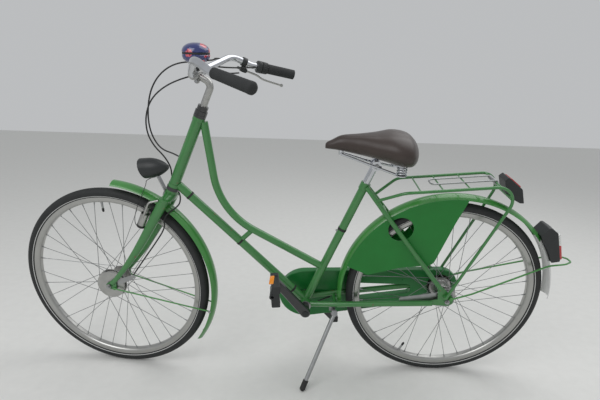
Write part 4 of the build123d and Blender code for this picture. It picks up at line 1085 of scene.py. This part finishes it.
def frame_trim():
    """Cable bands on the down tube, the band on the seat tube, and saddle and crank fixings."""
    bands = Piece(ON_FRAME)
    for along in (66, 300, 565):
        centre = DOWN_TUBE_START + TUBE_RUN * along
        tube_band(bands, centre, TUBE_RUN, TUBE_RADIUS, 7)
        loop = [(-3.5, 2.4), (-3.5, 3.6), (3.5, 3.6), (3.5, 2.4)]
        bands.turn(under_tube(along), TUBE_RUN, loop, 0, 20)
    on_seat_tube = BRACKET + SEAT_UP * SEAT_TUBE_BAND
    tube_band(bands, on_seat_tube, SEAT_UP, TUBE_RADIUS, 9)
    bands.hexagon(on_seat_tube + Vector((-19, 0, -4)), (0, -1, 0), 7, 5, 1)
    bands.make("tube_bands", "frame", [SOFT_BLACK, ZINC])
    clamp = Piece(ON_FRAME)
    for side in (-1, 1):
        clamp.turn(POST_TOP + ACROSS * side * 23.8, ACROSS * side, [(0, 9), (1.2, 9), (1.6, 8)], 0, 28)
        clamp.hexagon(POST_TOP + ACROSS * side * 25.2, ACROSS * side, 13, 6)
    clamp.make("saddle_clamp_bolt", "frame", [ZINC])
    caps = Piece(ON_FRAME)
    for side in (-1, 1):
        dome = [(-1, 11), (0.4, 11.6), (2.2, 11), (3.4, 8), (3.8, 3)]
        caps.turn(BRACKET + ACROSS * side * 86, ACROSS * side, dome, 0, 32)
    caps.make("crank_caps", "crank_set", [BLACK_ABS])


def steering_trim():
    """Stay bolts, the stem's clamp bolt, the dynamo's wheel and cap, and the lamp's bolt."""
    bolts = Piece(ON_STEERING)
    screw = [(0, 5), (1, 5), (1.2, 3.8), (3.4, 3.4), (4, 2)]
    for side in (-1, 1):
        eye = around(FRONT_AXLE, FENDER_RADIUS - 14, -12, side * 31.6)
        bolts.turn(eye, ACROSS * side, screw, 0, 24)
    ear = BAR_CLAMP + Vector((7, -7, -19))
    outline = [(-8, 7), (-6, -6), (-2, -8), (3, -8), (6, -5), (8, 7)]
    bolts.slab(ear, (1, 0, 0), (0, 0, 1), outline, 11, 1, 1.0)
    bolts.hexagon(ear + Vector((0, -5.5, -1)), (0, -1, 0), 10, 6, 0)
    lamp_seat = LAMP_FRONT + LAMP_BACK * 42 + Vector((0, 0, -24))
    for side in (-1, 1):
        bolts.hexagon(lamp_seat + Vector((1, side * 9.2, -2)), ACROSS * side, 8, 4, 0)
    bolts.make("steering_bolts", "steering", [ZINC, ALUMINIUM])
    wheel = Piece(ON_STEERING)
    roller = [(335, 8.6), (336, 10.4), (348.6, 10.4), (349.8, 8.6), (350.6, 4)]
    wheel.turn(on_fork(0, 45, -42), STEER_UP, roller, 0, 72, 36, 0.7)
    cap = [(269.5, 9), (270.4, 13.4), (272.4, 14.5), (279, 14.5), (280, 14.0)]
    wheel.turn(on_fork(0, 45, -42), STEER_UP, cap, 0, 36)
    wheel.make("dynamo_trim", "steering", [SOFT_BLACK])
    wire = [
        on_fork(274, 45, -42),
        on_fork(262, 52, -44),
        on_fork(282, 72, -46),
        on_fork(338, 80, -42),
        on_fork(392, 82, -24),
        on_fork(408, 88, -6),
        on_fork(414, 96, 4),
        LAMP_FRONT + LAMP_BACK * 30 + Vector((0, 4, -31)),
    ]
    line = smooth_line("lamp_wire", [ON_STEERING @ p for p in wire], 1.1)
    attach(line, "steering")


frame_trim()
steering_trim()

# ---------------------------------------------------------------- finishes of the CAD pieces

NODE_FINISH = {
    GREEN_PAINT: "head_tube seat_tube down_tube top_tube chain_stays seat_stays fork rack",
    FENDER_PAINT: "front_fender rear_fender_hoop front_fender_stays",
    TAIL_PAINT: "rear_fender",
    CHROME: "handlebar seat_post saddle_frame",
    ALUMINIUM: "stem dynamo front_hub rear_hub front_brake_plate",
    ZINC: "bottom_bracket_cups rear_axle front_axle stand_bracket stand_leg coaster_arm"
    " lamp_bracket front_brake_arm rack_clip",
    BLACK_PAINT: "headset_cups headset_locknut left_crank right_crank",
    CHAIN_STEEL: "chain rear_sprocket crank_axle",
    GUARD_PLASTIC: "skirt_guards",
    CASE_PLASTIC: "chain_case",
    BLACK_ABS: "headlamp tail_lamp rack_reflector left_pedal right_pedal",
    FOAM_GRIP: "right_grip",
    RIM_ALLOY: "front_rim rear_rim",
    SPOKE_STEEL: "front_spokes rear_spokes",
    SOFT_BLACK: "stand_foot",
}
for finish, names in NODE_FINISH.items():
    for node_name in names.split():
        data = frame["nodes"][node_name].data
        data.materials.clear()
        data.materials.append(finish)
